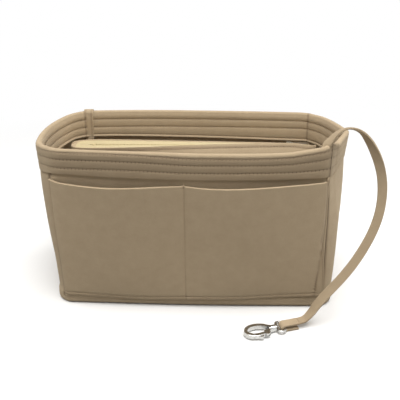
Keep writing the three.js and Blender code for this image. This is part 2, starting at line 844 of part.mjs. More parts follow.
// Gate: the ring's side between the pivot and the nose, with a thumb nub and a tail between the cheeks
function hookGate() {
  const bar = cut(
    common(hookRing(), gateStretch(-gateGap)),
    disc(cheekRadius + gateGap, pivotX, gatePivotAcross, -half - cutOverrun, half + cutOverrun),
  );
  const tailHalf = gateTailThickness / 2;
  const tail = disc(gateTailRadius, pivotX, gatePivotAcross, -tailHalf, tailHalf);
  const web = box(
    pivotX,
    pivotX + cheekRadius + hookBar,
    gatePivotAcross - gateTailRadius / 2,
    gatePivotAcross + gateTailRadius / 2,
    -tailHalf,
    tailHalf,
  );
  const nubX = (pivotX + noseX) / 2;
  const nub = new THREE.CylinderGeometry(nubHeight, nubHeight, hookThickness - 2 * hookBevel, roundSteps)
    .rotateX(Math.PI / 2)
    .scale(nubLength / nubHeight / 2, 1, 1)
    .translate(nubX, hookWidth / 2 - hookBevel, 0);
  const pinBore = disc(pinRadius + pinGap, pivotX, gatePivotAcross, -half, half);
  const recess = disc(springRadius + springWire / 2 + pinGap, pivotX, gatePivotAcross, tailHalf - springRecess, half);
  return cut(join(bar, tail, web, nub), pinBore, recess);
}

const gatePin = () => disc(pinRadius, pivotX, gatePivotAcross, -half, half);

// Torsion spring: a small coil round the pin, in the recess of the gate's tail
function gateSpring() {
  const rise = springWire + clearance / 4;
  const foot = gateTailThickness / 2 - springRecess + springWire / 2 + clearance / 4;
  const coil = new (class extends THREE.Curve {
    getPoint(share, target = new THREE.Vector3()) {
      const angle = 2 * Math.PI * springTurns * share;
      return target.set(
        pivotX + springRadius * Math.cos(angle),
        gatePivotAcross + springRadius * Math.sin(angle),
        foot + rise * springTurns * share,
      );
    }
  })();
  const wire = evenly(0, 2 * Math.PI, springSides)
    .slice(1)
    .map((a) => new THREE.Vector2((springWire / 2) * Math.cos(a), (springWire / 2) * Math.sin(a)));
  return new THREE.ExtrudeGeometry(new THREE.Shape(wire), { steps: springSteps * springTurns, extrudePath: coil });
}

// Assembly

const organiser = new THREE.Group();
const tub = new THREE.Group();
const pouch = new THREE.Group();
const clasp = new THREE.Group();
organiser.add(tub, pouch, clasp);

function piece(group, name, geometry, material) {
  const mesh = new THREE.Mesh(geometry, material);
  mesh.name = name;
  group.add(mesh);
}

piece(tub, "front_panel", wallPanel(walls.front), felt());
piece(tub, "right_side_panel", wallPanel(walls.right), felt());
piece(tub, "back_panel", wallPanel(walls.back), felt());
piece(tub, "left_side_panel", wallPanel(walls.left), felt());
piece(tub, "base_panel", basePanel(), felt());
piece(tub, "base_board", baseBoard(), board());
piece(tub, "front_left_rim_band", rimBand(bands.frontLeft), felt());
piece(tub, "right_rim_band", rimBand(bands.right), felt());
piece(tub, "back_rim_band", rimBand(bands.back), felt());
piece(tub, "band_join_strip", bandJoinStrip(), felt());
piece(tub, "front_pocket", frontPocket(), felt());
piece(tub, "key_strap", keyStrap(), felt());

piece(pouch, "pouch_front", pouchSide(-1), felt());
piece(pouch, "pouch_back", pouchSide(1), felt());
piece(pouch, "zip_tape_front", zipperTape(-1), zipTape());
piece(pouch, "zip_tape_back", zipperTape(1), zipTape());
piece(pouch, "zip_teeth_front", toothRow(-1), nylon());
piece(pouch, "zip_teeth_back", toothRow(1), nylon());
piece(pouch, "zip_top_stop_front", zipperStop(1, -toothOuter, -toothSlot / 2), nylon());
piece(pouch, "zip_top_stop_back", zipperStop(1, toothSlot / 2, toothOuter), nylon());
piece(pouch, "zip_bottom_stop", zipperStop(-1, -toothOuter, toothOuter), nylon());
piece(pouch, "zip_slider", zipSlider(), silver());
piece(pouch, "zip_pull", zipPull(), silver());

clasp.position.set(claspX, claspY, claspZ);
clasp.rotation.z = claspTurn;
piece(clasp, "strap_end_loop", strapEndLoop(), felt());
piece(clasp, "clasp_eye", swivelEye(), silver());
piece(clasp, "clasp_hook", hookBody(), silver());
piece(clasp, "clasp_gate", hookGate(), silver());
piece(clasp, "clasp_gate_pin", gatePin(), silver());
piece(clasp, "clasp_gate_spring", gateSpring(), silver());

export default organiser;
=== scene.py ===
"""A felt handbag organiser.

An open felt tub with a stitched rim band, a patch pocket, a zipped inner pouch and a key strap.
"""

import math

import bmesh
import bpy
import numpy as np
from mathutils import Matrix, Vector


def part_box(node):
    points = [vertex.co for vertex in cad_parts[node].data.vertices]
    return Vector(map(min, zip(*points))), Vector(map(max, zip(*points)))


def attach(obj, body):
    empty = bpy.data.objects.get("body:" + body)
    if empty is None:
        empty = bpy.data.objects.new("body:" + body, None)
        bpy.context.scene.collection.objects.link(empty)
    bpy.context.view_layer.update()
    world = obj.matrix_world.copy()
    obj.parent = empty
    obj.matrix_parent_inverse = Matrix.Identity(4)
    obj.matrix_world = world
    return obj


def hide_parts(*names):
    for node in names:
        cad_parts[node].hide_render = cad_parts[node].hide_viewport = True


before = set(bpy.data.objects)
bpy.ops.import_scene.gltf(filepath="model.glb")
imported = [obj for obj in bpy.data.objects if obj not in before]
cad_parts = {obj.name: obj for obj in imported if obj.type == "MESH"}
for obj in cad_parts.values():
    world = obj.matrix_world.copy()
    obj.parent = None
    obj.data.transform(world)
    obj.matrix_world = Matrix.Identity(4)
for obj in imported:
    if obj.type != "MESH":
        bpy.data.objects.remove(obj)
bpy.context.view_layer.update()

bl_info = {
    "name": "Felt Handbag Organiser",
    "version": (1, 0, 0),
    "blender": (4, 5, 0),
    "location": "View3D > Sidebar > Organiser",
    "description": "Builds a stitched felt organiser with its pocket, pouch, key strap and snap hook",
    "category": "Add Mesh",
}

MM = 0.001


# Settings


def length_setting(name, millimetres, words):
    return bpy.props.FloatProperty(
        name=name, description=words, default=millimetres * MM, unit="LENGTH", subtype="DISTANCE", precision=4
    )


def colour_setting(name, hex_value, words):
    return bpy.props.StringProperty(name=name, description=words, default=hex_value)


def share_setting(name, value, words):
    return bpy.props.FloatProperty(
        name=name, description=words, default=value, min=0.0, max=1.0, subtype="FACTOR"
    )


class TubSettings(bpy.types.PropertyGroup):
    """The tub's walls, base and rim band"""

    rim_length: length_setting("Rim length", 289.4, "Length over the rim band")
    rim_depth: length_setting("Rim depth", 136.4, "Depth over the rim band")
    corner_radius: length_setting("Corner radius", 17, "Radius of the tub's upright corners")
    wall: length_setting("Wall", 2.0, "Thickness of the wall felt")
    band: length_setting("Band", 1.3, "Thickness of the rim band's felt")
    outer_leaf: length_setting("Outer leaf", 25.6, "Height of the band outside")
    inner_leaf: length_setting("Inner leaf", 29.0, "Height of the band inside")
    puff: length_setting("Puff", 0.42, "How far the band swells between its stitch rows")


class StitchSettings(bpy.types.PropertyGroup):
    """The sewing thread"""

    pitch: length_setting("Pitch", 3.3, "Distance from one stitch to the next")
    length: length_setting("Length", 2.5, "Length of one stitch on the felt")
    width: length_setting("Width", 0.62, "Width of the sewing thread")
    thread: colour_setting("Thread colour", "#A9967B", "Colour of the sewing thread")


class FeltSettings(bpy.types.PropertyGroup):
    """The felt's colours"""

    light: colour_setting("Light fibres", "#BBA78A", "Colour of the lighter fibres")
    dark: colour_setting("Dark fibres", "#A38F73", "Colour of the darker fibres")
    # Painted shade: the colour that stitch grooves, seams, needle holes and the band's outer face are
    # darkened towards.
    painted_shade: colour_setting("Pressed felt", "#5D4A37", "Colour deep in a stitched groove")
    sheen: share_setting("Sheen", 0.25, "Strength of the fibres' sheen")


class PouchSettings(bpy.types.PropertyGroup):
    """The zipped pouch and its zip"""

    felt: length_setting("Felt", 2.0, "Thickness of the pouch's felt")
    tape: colour_setting("Tape colour", "#C8B890", "Colour of the zip's woven tape")
    coil: colour_setting("Coil colour", "#C9B88E", "Colour of the zip's nylon coil")
    coil_pitch: length_setting("Coil pitch", 1.5, "Distance from one tooth of the coil to the next")


class StrapSettings(bpy.types.PropertyGroup):
    """The key strap and its hook"""

    width: length_setting("Width", 8, "Width of the strap")
    thickness: length_setting("Thickness", 2.2, "Thickness of the strap")
    metal: colour_setting("Metal colour", "#CBCBC9", "Colour of the plated metal")


class StageSettings(bpy.types.PropertyGroup):
    """The floor, the lamps and the camera"""

    floor: colour_setting("Floor colour", "#F4F3F1", "Colour of the floor as the camera sees it")
    floor_bounce: colour_setting("Floor bounce", "#989795", "Colour of the light that the floor throws back")
    far_glow: share_setting("Far glow", 0.4, "How brightly the far floor lights the object")
    lens: length_setting("Lens", 41.19, "Focal length of the camera on a 36 mm wide sensor")


# Meshes


def settings(group):
    return getattr(bpy.context.scene, group + "_settings")


def add_object(name, data):
    """Links a new object to the scene."""
    made = bpy.data.objects.new(name, data)
    bpy.context.scene.collection.objects.link(made)
    return made


def new_piece(name, bm, coat, body, replaced=()):
    """Turns a bmesh into a finished piece with its finish, its body and the nodes that it stands for."""
    for face in bm.faces:
        face.smooth = True
    mesh = bpy.data.meshes.new(name)
    bm.to_mesh(mesh)
    bm.free()
    mesh.materials.append(finish(coat))
    piece = add_object(name, mesh)
    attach(piece, body)
    if replaced:
        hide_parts(*replaced)
    return piece


def grid_mesh(columns, rows, place, flip=False):
    """A grid of faces.

    place(u, v) takes arrays from 0 to 1 and gives points, or points, two lengths and the depth of a groove,
    which also sets how far painted shade darkens the felt.
    """
    bm = bmesh.new()
    bmesh.ops.create_grid(bm, x_segments=columns, y_segments=rows, size=0.5)
    bm.verts.ensure_lookup_table()
    flat = np.array([v.co[:2] for v in bm.verts]) + 0.5
    made = place(flat[:, 0], flat[:, 1])
    points, *surface = made if isinstance(made, tuple) else (made,)
    for vert, point in zip(bm.verts, points):
        vert.co = point
    if surface:
        lengths = np.stack(surface[:2], -1)
        along = bm.loops.layers.uv.new("lengths")
        # The groove layer holds how far the felt is darkened, mostly painted shade.
        painted_shade = bm.verts.layers.float.new("groove")
        for vert, depth in zip(bm.verts, surface[2]):
            vert[painted_shade] = depth
        for face in bm.faces:
            for loop in face.loops:
                loop[along].uv = lengths[loop.vert.index]
    if flip:
        bmesh.ops.reverse_faces(bm, faces=bm.faces)
    return bm


def tube_mesh(rings, sides, place):
    """A closed tube: place(u, v) gives the points, u along it and v once round it. Its ends are capped."""
    bm = grid_mesh(rings, sides, place)
    bmesh.ops.remove_doubles(bm, verts=bm.verts, dist=1e-7)
    bmesh.ops.holes_fill(bm, edges=[e for e in bm.edges if e.is_boundary], sides=0)
    bmesh.ops.recalc_face_normals(bm, faces=bm.faces)
    return bm


def ease(piece, width, angle):
    """Rounds the edges that are sharper than an angle in degrees."""
    rounded = piece.modifiers.new("Eased edges", "BEVEL")
    rounded.width = width
    rounded.segments = 3
    rounded.limit_method = "ANGLE"
    rounded.angle_limit = math.radians(angle)


def thicken(piece, thickness, side, edge):
    """Gives a sheet its thickness, from -1, all inwards, to 1, all outwards, and rounds its cut edges."""
    wall = piece.modifiers.new("Felt", "SOLIDIFY")
    wall.thickness = thickness
    wall.offset = side
    wall.use_even_offset = False
    if edge:
        ease(piece, edge, 55)


def felt_sheet(node, bm, body, thickness, side, edge):
    """A sheet of felt that stands for a node."""
    name = "base_felt" if node == "base_panel" else node + "_felt"
    piece = new_piece(name, bm, "felt", body, [node])
    thicken(piece, thickness, side, edge)


def dressed_copy(name, node, coat, body, bevel):
    """A smooth copy of a CAD node, with its sharp edges eased, that stands for the node."""
    bm = bmesh.new()
    bm.from_mesh(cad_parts[node].data)
    bmesh.ops.remove_doubles(bm, verts=bm.verts, dist=2e-6)
    bmesh.ops.dissolve_limit(
        bm, angle_limit=math.radians(1), use_dissolve_boundaries=False, verts=bm.verts, edges=bm.edges
    )
    ease(new_piece(name, bm, coat, body, [node]), bevel, 32)


# Colours and materials


def linear(hex_value):
    """An sRGB hex colour as linear red, green, blue and alpha."""
    channels = [int(hex_value[i : i + 2], 16) / 255 for i in (1, 3, 5)]
    return [c / 12.92 if c <= 0.04045 else ((c + 0.055) / 1.055) ** 2.4 for c in channels] + [1.0]


def add_node(tree, kind, inputs=None, output=0, **settings):
    """Adds a shader node with its settings, sets or links its inputs, and gives one of its outputs."""
    node = tree.nodes.new("ShaderNode" + kind)
    for name, value in settings.items():
        setattr(node, name, value)
    for name, value in (inputs or {}).items():
        if isinstance(value, bpy.types.NodeSocket):
            tree.links.new(value, node.inputs[name])
        else:
            node.inputs[name].default_value = value
    return node.outputs[output]


def new_material(name, **values):
    """A material with values set on its shader, its node tree, and a socket with each point's place."""
    material = bpy.data.materials.new(name)
    material.use_nodes = True
    tree = material.node_tree
    for socket, value in values.items():
        tree.nodes["Principled BSDF"].inputs[socket.replace("_", " ")].default_value = value
    return material, tree, add_node(tree, "TexCoord", output="Object")


def noise(tree, place, size, detail, **more):
    """A noise pattern with spots of a size."""
    return add_node(tree, "TexNoise", {"Vector": place, "Scale": 1 / size, "Detail": detail, **more})


def cover(tree, share, low, high, relief=None, strength=0.4, height=0.2 * MM):
    """Colours a surface from low to high by a share, and raises it by a relief."""
    shader = tree.nodes["Principled BSDF"]
    colour = add_node(tree, "Mix", {"Factor": share, "A": low, "B": high}, "Result", data_type="RGBA")
    tree.links.new(colour, shader.inputs["Base Color"])
    if relief is not None:
        bump = add_node(tree, "Bump", {"Height": relief, "Strength": strength, "Distance": height})
        tree.links.new(bump, shader.inputs["Normal"])


def felt_material():
    """Needle-punched polyester felt, squeezed flat: no gloss, matted fibres and a soft bloom at its edges,
    darkened with painted shade in grooves, seams and needle holes and on the band's outer face.
    """
    felt = settings("felt")
    material, tree, place = new_material(
        "pressed_felt",
        Roughness=0.95,
        Sheen_Weight=felt.sheen,
        Sheen_Roughness=0.6,
        Sheen_Tint=linear("#EBDDC6"),
        Specular_IOR_Level=0.15,
    )
    fibres = noise(tree, place, 0.45 * MM, 4.0, Roughness=0.7, Distortion=1.2)
    clouds = noise(tree, place, 9 * MM, 3.0, Roughness=0.55)
    shade = add_node(tree, "Math", {0: clouds, 1: 0.35, 2: fibres}, operation="MULTIPLY_ADD")
    share = add_node(tree, "MapRange", {"Value": shade, "From Min": 0.35})
    mixed = {"Factor": share, "A": linear(felt.dark), "B": linear(felt.light)}
    fibre_colour = add_node(tree, "Mix", mixed, "Result", data_type="RGBA")
    # Mixes the fibre colour towards the painted shade colour where the felt is darkened.
    cover(tree, felt_darkening(tree), fibre_colour, linear(felt.painted_shade), fibres, 0.55, 0.22 * MM)
    return material


# Up to this share the darkening is even, with no needle holes: painted shade on the band's outer face, and a
# slightly darker tone all over the strap.
EVEN_DARKENING = 0.25


def felt_darkening(tree):
    """How far the felt is darkened towards the painted shade colour: evenly up to a level, and past it in a
    deep groove, most at a needle hole once a stitch.
    """
    lengths = add_node(tree, "UVMap", uv_map="lengths")
    along = add_node(tree, "SeparateXYZ", {"Vector": lengths})
    depth = add_node(tree, "Attribute", output="Fac", attribute_name="groove")
    steps = add_node(tree, "Math", {0: along, 1: settings("stitch").pitch}, operation="DIVIDE")
    step = add_node(tree, "Math", {0: steps}, operation="FRACT")
    off_centre = add_node(tree, "Math", {0: step, 1: 0.5}, operation="SUBTRACT")
    distance = add_node(tree, "Math", {0: off_centre}, operation="ABSOLUTE")
    hole = add_node(tree, "MapRange", {"Value": distance, "From Min": 0.30, "From Max": 0.46, "To Min": 0.2})
    flat = add_node(tree, "Math", {0: depth, 1: EVEN_DARKENING}, operation="MINIMUM")
    deeper = add_node(tree, "Math", {0: depth, 1: flat}, operation="SUBTRACT")
    return add_node(tree, "Math", {0: deeper, 1: hole, 2: flat}, operation="MULTIPLY_ADD")


def thread_material():
    """Spun polyester sewing thread: a matt twisted yarn, a shade off the felt."""
    material, tree, place = new_material(
        "spun_polyester_thread", Roughness=0.75, Sheen_Weight=0.15, Specular_IOR_Level=0.3
    )
    twist = noise(tree, place, 0.5 * MM, 2.0)
    cover(tree, twist, linear("#8F7D64"), linear(settings("stitch").thread))
    return material


def tape_material():
    """Woven polyester zip tape: a fine twill with a low, soft lustre. Its rib is drawn at 0.9 mm, to show."""
    material, tree, place = new_material(
        "woven_zip_tape", Roughness=0.7, Sheen_Weight=0.2, Specular_IOR_Level=0.3
    )
    rib = 0.9 * MM
    ribbed = {"Vector": place, "Scale": math.tau / rib / 20, "Distortion": 0.4, "Detail": 1.0}
    weave = add_node(tree, "TexWave", ribbed, "Fac", wave_type="BANDS", bands_direction="DIAGONAL")
    cover(tree, weave, linear("#BBAB81"), linear(settings("pouch").tape), weave, height=0.1 * MM)
    return material


def nylon_material():
    """Nylon monofilament coil: moulded, slightly see-through plastic with a soft shine."""
    material, tree, place = new_material("nylon_coil", Roughness=0.38, IOR=1.53)
    patches = noise(tree, place, 3 * MM, 1.0)
    cover(tree, patches, linear("#BCAC7F"), linear(settings("pouch").coil))
    return material


def plated_material():
    """Nickel-plated cast zinc: a bright skin, polished by tumbling, with faint scuffs that dull it."""
    material, tree, place = new_material("nickel_plate", Metallic=1.0, Roughness=0.2)
    scuffs = noise(tree, place, 1.6 * MM, 5.0, Roughness=0.65)
    dulled = {"Value": scuffs, "From Min": 0.35, "From Max": 0.75, "To Min": 0.14, "To Max": 0.36}
    tree.links.new(add_node(tree, "MapRange", dulled), tree.nodes["Principled BSDF"].inputs["Roughness"])
    cover(tree, scuffs, linear(settings("strap").metal), linear("#B9B8B4"))
    return material


def board_material():
    """Pressed fibre board in thin felt, a shade darker than the tub because it lies in the shade."""
    material, tree, place = new_material("fibre_board", Roughness=0.9)
    fibres = noise(tree, place, 0.9 * MM, 5.0)
    cover(tree, fibres, linear("#8A785F"), linear("#A39076"), fibres)
    return material


finishes = {}


def finish(name):
    """The finish of that name, made once."""
    makers = {
        "felt": felt_material,
        "thread": thread_material,
        "tape": tape_material,
        "nylon": nylon_material,
        "plate": plated_material,
        "board": board_material,
    }
    if name not in finishes:
        finishes[name] = makers[name]()
    return finishes[name]


# Shares and lengths


def mix(low, high, share):
    return low + (high - low) * share


def unit(share):
    return np.clip(share, 0, 1)


def smooth(share):
    share = unit(share)
    return share * share * (3 - 2 * share)


def ramp(value, start, run):
    """Rises smoothly from 0 at start to 1 a run further on."""
    return smooth((value - start) / run)


def bell(share):
    """1 at 0, falling off smoothly on both sides."""
    return np.exp(-(share**2))


def lengths_along(points):
    """Lengths along a line of points."""
    return np.concatenate([[0], np.cumsum(np.linalg.norm(np.diff(points, axis=0), axis=1))])


# The tub's outline, as the CAD has it

BASE_LOW, BASE_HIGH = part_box("base_panel")
BASE_LENGTH = BASE_HIGH.x - BASE_LOW.x
BASE_DEPTH = 120 * MM
BAG_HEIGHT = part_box("front_left_rim_band")[1].z
FRONT_BOW = 9 * MM
BACK_BOW = 6.6 * MM
SIDE_BOW = 12.3 * MM
BASE_FRONT_BOW = 3.6 * MM
BASE_BACK_BOW = 2.6 * MM
CLEARANCE = 0.3 * MM
SEAM_GAP = 0.3 * MM
FRONT_RIGHT_SEAM = 1.22
BACK_RIGHT_SEAM = 3.7
BACK_LEFT_SEAM = 5.22
FRONT_LEFT_SEAM = 7.69
WHOLE_TURN = 8


def outline(turn, height, offset):
    """Points of the tub. Turn 0 to 1 runs along the front, 1 to 2 round the front right corner, and so on."""
    tub = settings("tub")
    stand = tub.band + CLEARANCE
    turn, height, offset = np.broadcast_arrays(*(np.asarray(a, float) for a in (turn, height, offset)))
    rise = height / BAG_HEIGHT
    front = mix(BASE_FRONT_BOW, FRONT_BOW, rise)
    back = mix(BASE_BACK_BOW, BACK_BOW, rise)
    side = SIDE_BOW * rise
    half_length = mix(BASE_LENGTH, tub.rim_length - 2 * stand, rise) / 2 - side + offset
    half_depth = (mix(BASE_DEPTH, tub.rim_depth - 2 * stand, rise) - front - back) / 2 + offset
    radius = tub.corner_radius + offset
    quarter = np.floor(turn / 2)
    along = turn - 2 * quarter
    quarter = np.mod(quarter, 4)
    sideways = np.mod(quarter, 2) > 0
    run = np.where(sideways, half_depth, half_length)
    reach = np.where(sideways, half_length, half_depth)
    angle = np.maximum(along - 1, 0) * math.pi / 2
    a = np.where(along <= 1, (2 * along - 1) * (run - radius), run - radius + radius * np.sin(angle))
    b = reach - radius + radius * np.cos(angle)
    quarters = [quarter == k for k in range(4)]
    x, y = np.select(quarters, [a, b, -a, -b]), np.select(quarters, [-b, a, b, -a])
    u, v = x / half_length, y / half_depth
    bow_y = np.where(y < 0, -front, back) * (1 - u * u) * v * v
    bow_x = np.sign(x) * side * (1 - v * v) * u * u
    x, y = x + bow_x, y + bow_y + (front - back) / 2
    turn = np.mod(turn, WHOLE_TURN)
    bent = ramp(height, BEND_START, BEND_RUN)
    right_end = smooth((turn - BEND_TURN[0]) / 0.6) * smooth((BEND_TURN[-2] - turn) / 1.1)
    full = right_end * np.interp(height, FULL_HEIGHTS, FULLNESS)
    x = x + swell(x, height) + bent * np.interp(turn, BEND_TURN, BEND_X) + full
    y = y + bent * np.interp(turn, BEND_TURN, BEND_Y)
    lifted = ramp(height, RISE_START, RISE_RUN) * np.interp(turn, RISE_TURN, RISE)
    return np.stack([x, y, height + lifted], -1)


# The right end is creased outwards down its middle. The rim rises and dips, most where the strap pulls it.
BEND_START = 30 * MM
BEND_RUN = 100 * MM
BEND_TURN = [1.22, 1.6, 1.9, 2.05, 2.2, 2.35, 2.45, 2.6, 2.75, 2.95, 3.1, 3.4, 3.7, 3.86, 4.3]
BEND_X = np.array([0, -4.9, -6.5, -5.5, -2.5, 1.4, 3.9, 1.8, 0.4, -0.6, -0.9, 0, 1, 1, 0]) * MM
BEND_Y = np.array([0, 4, 4.8, 4.4, 3.4, 2.3, 1, 0, 0, 0, 0, 0, 2, 2, 0]) * MM
FULL_HEIGHTS = np.array([25, 46, 62, 78, 92, 105, 122, 138, 164]) * MM
FULLNESS = np.array([0, 0.5, 1.7, 3.0, 4.3, 3.2, 2.1, 1.7, 2.1]) * MM
RISE_START = 134 * MM
RISE_RUN = 27 * MM
RISE_TURN = [0, 0.25, 0.4, 0.52, 0.8, 0.88, 0.95, 1, 1.1, 1.22, 1.6]
RISE_TURN += [2, 2.45, 3.86, 4.3, 4.6, 5.14, 5.5, 6, 6.5, 7.5, 8]
RISE = [-1, -1, -1.5, -2.4, -2.6, -2, 0.3, 2, 3.2, 3.6, 1.2]
RISE = np.array(RISE + [-0.8, 0, 0.3, 1, 1.6, 2.2, 1.6, 0.6, 0, -0.6, -1]) * MM
SWELL_START = 60 * MM
SWELL_RUN = 78 * MM
SWELL_HEIGHTS = np.array([0, 15, 30, 49, 67, 84, 102, 120, 132, 138.4, 164]) * MM
LEFT_SWELL = np.array([-0.7, -0.8, -0.4, -0.1, 0.8, 1.4, 1.8, 2.1, 1.9, 1.6, 1.6]) * MM
RIGHT_SWELL = np.array([1.2, 1.2, 1.2, 1.2, 1.2, 1.2, 1.1, 0.3, -0.8, -1.35, -1.55]) * MM
END_START = 108 * MM
END_RUN = 20 * MM
SAG = 0.45 * MM
SAG_RISE = 20 * MM
SEAM_TUCK = 0.5 * MM


def swell(x, height):
    """How far the soft ends belly out sideways below the band, and lean with it above."""
    left = np.interp(height, SWELL_HEIGHTS, LEFT_SWELL)
    right = np.interp(height, SWELL_HEIGHTS, RIGHT_SWELL)
    return ramp(np.abs(x), SWELL_START, SWELL_RUN) * np.where(x < 0, -left, right)


def end_share(x):
    """0 along the front and back, 1 round the ends, where the band hugs the wall."""
    return ramp(np.abs(x), END_START, END_RUN)


FRONT_RIGHT_HEIGHTS = np.array([8, 25, 52, 77, 130, 134, 140]) * MM
FRONT_RIGHT_LINE = [1.21, 1.183, 1.117, 1.103, 1.137, 1.187, 1.22]
FRONT_LEFT_HEIGHTS = np.array([8, 14, 98, 134, 140]) * MM
FRONT_LEFT_LINE = [7.727, 7.727, 7.69, 7.678, 7.69]


def seam_turn(seam, height):
    """Where a corner seam runs at a height: the front ones wander, the back ones stand upright."""
    if seam % WHOLE_TURN == FRONT_RIGHT_SEAM:
        return np.interp(height, FRONT_RIGHT_HEIGHTS, FRONT_RIGHT_LINE)
    if abs(seam % WHOLE_TURN - FRONT_LEFT_SEAM) < 1e-6:
        return np.interp(height, FRONT_LEFT_HEIGHTS, FRONT_LEFT_LINE) + seam - FRONT_LEFT_SEAM
    return np.full_like(np.asarray(height, float), seam)


def sag(turn, height):
    """How far the soft walls wander in and out, in metres."""
    x, y, z = outline(turn, height, 0).T
    wave = np.sin(43 * x + 19 * z + 1.1) * np.cos(31 * z - 12 * x + 0.4) + 0.6 * np.sin(57 * y + 33 * z)
    return SAG * wave * smooth(z / SAG_RISE)


def on_wall(turns, height, offset):
    """Points of the tub with the wander of its soft walls."""
    return outline(turns, height, offset + sag(turns, height))


def corner_share(length):
    """A length round a corner as a share of that corner's turn."""
    return length / (settings("tub").corner_radius * math.pi / 2)


def round_lengths(turns, height):
    """Lengths along the outline at these turns, which rise."""
    return lengths_along(outline(turns, height, 0))


def rim_run(start, end, count=400):
    """The rim's length between two turns."""
    return float(round_lengths(np.linspace(start, end, count), BAG_HEIGHT)[-1])


def inset(start, end, gap):
    """A span of turns with a gap left at both of its ends."""
    return start + corner_share(gap), end - corner_share(gap)


def rim_x(turns):
    return outline(turns, BAG_HEIGHT, 0)[:, 0]


def tucked(lengths, length, run):
    """1 at both cut ends of a felt panel, and 0 away from them."""
    return 1 - smooth(np.minimum(lengths, length - lengths) / run)


def even_turns(start, end, height, share):
    """Turns at even lengths along the outline, for shares from 0 to 1."""
    fine = np.linspace(start, end, 2000)
    lengths = round_lengths(fine, height)
    return np.interp(share * lengths[-1], lengths, fine), share * lengths[-1]


# Stitches


def stitch_row(bm, points, outwards):
    """Adds stitches along a line of points to a bmesh. outwards gives the felt's normal at each point."""
    stitch = settings("stitch")
    lengths = lengths_along(points)

    def at(length, values):
        return np.array([np.interp(length, lengths, values[:, k]) for k in range(3)])

    for i in range(int(lengths[-1] / stitch.pitch)):
        middle = (i + 0.5) * stitch.pitch
        normal = Vector(at(middle, outwards)).normalized()
        ahead, behind = (at(middle + step, points) for step in (stitch.pitch / 4, -stitch.pitch / 4))
        tangent = Vector(ahead - behind).normalized()
        across = normal.cross(tangent).normalized()
        turned = Matrix((tangent, across, normal)).transposed().to_4x4()
        sized = Matrix.Diagonal((stitch.length / 2, stitch.width / 2, stitch.width / 2, 1))
        bmesh.ops.create_uvsphere(
            bm,
            u_segments=6,
            v_segments=4,
            radius=1,
            matrix=Matrix.Translation(at(middle, points)) @ turned @ sized,
        )


def sew(bm, turns, heights, offsets, side):
    """Adds a stitch row on the tub to a bmesh. side is 1 outside and -1 inside."""
    offsets = offsets + sag(turns, heights)
    points = outline(turns, heights, offsets)
    row = bmesh.new()
    stitch_row(row, points, (outline(turns, heights, offsets + 1 * MM) - points) * side)
    mesh = bpy.data.meshes.new("row")
    row.to_mesh(mesh)
    row.free()
    bm.from_mesh(mesh)
    bpy.data.meshes.remove(mesh)


# The rim band

OUTER_ROWS = [159.6 * MM, 153.2 * MM, 145.1 * MM]
INNER_ROWS = [155 * MM, 147.3 * MM]
ROW_WIDTH = 0.85 * MM
BAND_CELL = 2.2 * MM
BAND_CELLS_DOWN = 124
FOLD_RADIUS = 1.95 * MM
FOLD_MIDDLE = -0.3 * MM
HEM_FLARE = -0.9 * MM
INNER_FLARE = 0.6 * MM
END_TUCK = 1.4 * MM
LIP = 1.8 * MM
THREAD_STAND = 0.06 * MM
THREAD_SINK = 0.25 * MM
SHORT_ROWS = ((BACK_LEFT_SEAM, 13 * MM), (BACK_RIGHT_SEAM, 3.6 * MM))
SHORT_ROW_HEIGHTS = (160 * MM, 139 * MM)
INNER_HEM_X = np.array([-150, -90, 93, 150]) * MM
INNER_HEM = np.array([138.4, 138.2, 134.5, 134.2]) * MM
OUTER_HEM_X = np.array([-140, -129, -122, -113, -105, -95, -55, 0]) * MM
OUTER_HEM_RISE = np.array([0, 0.5, 1.5, 2, 2.25, 2, 0.8, 0]) * MM
ROW_LIFT_X = np.array([-125, -109, -75, -41, -8]) * MM
ROW_LIFT = np.array([1.2, 1.5, 1.8, 1.5, 0]) * MM


def row_lift(x):
    """How much higher the outer stitch rows run towards the left end."""
    return np.interp(x, ROW_LIFT_X, ROW_LIFT)


def groove_depth(height, rows):
    """How deep in a stitch row a height lies, from 0 to 1."""
    return sum(bell((height - row) / ROW_WIDTH) for row in rows)


def puffed(height, rows, hem):
    """How far the felt swells between two stitch rows, from 0 to 1, fullest above their middle."""
    puff = np.zeros_like(height)
    for high, low in zip(rows, rows[1:]):
        share = unit((high - height) / (high - low))
        puff = np.where((height < high) & (height >= low), np.sin(math.pi * share**0.8) ** 0.65, puff)
    share = unit((rows[-1] - height) / (rows[-1] - hem))
    return np.where(height < rows[-1], np.sin(math.pi * 0.85 * share**0.8) ** 0.65, puff)


def fold(share, foot, radius, outer_run, inner_run):
    """The way up a fold's outer leaf, over its top and down its inner leaf.

    Gives the length so far, the angle round the fold, the height, and where the inner leaf is.
    """
    s = share * (outer_run + math.pi * radius + inner_run)
    angle = np.clip((s - outer_run) / radius, 0, math.pi)
    past = s - outer_run - math.pi * radius
    height = np.where(s < outer_run, foot - outer_run + s, foot + radius * np.sin(angle))
    return s, angle, np.where(past > 0, foot - past, height), past > 0


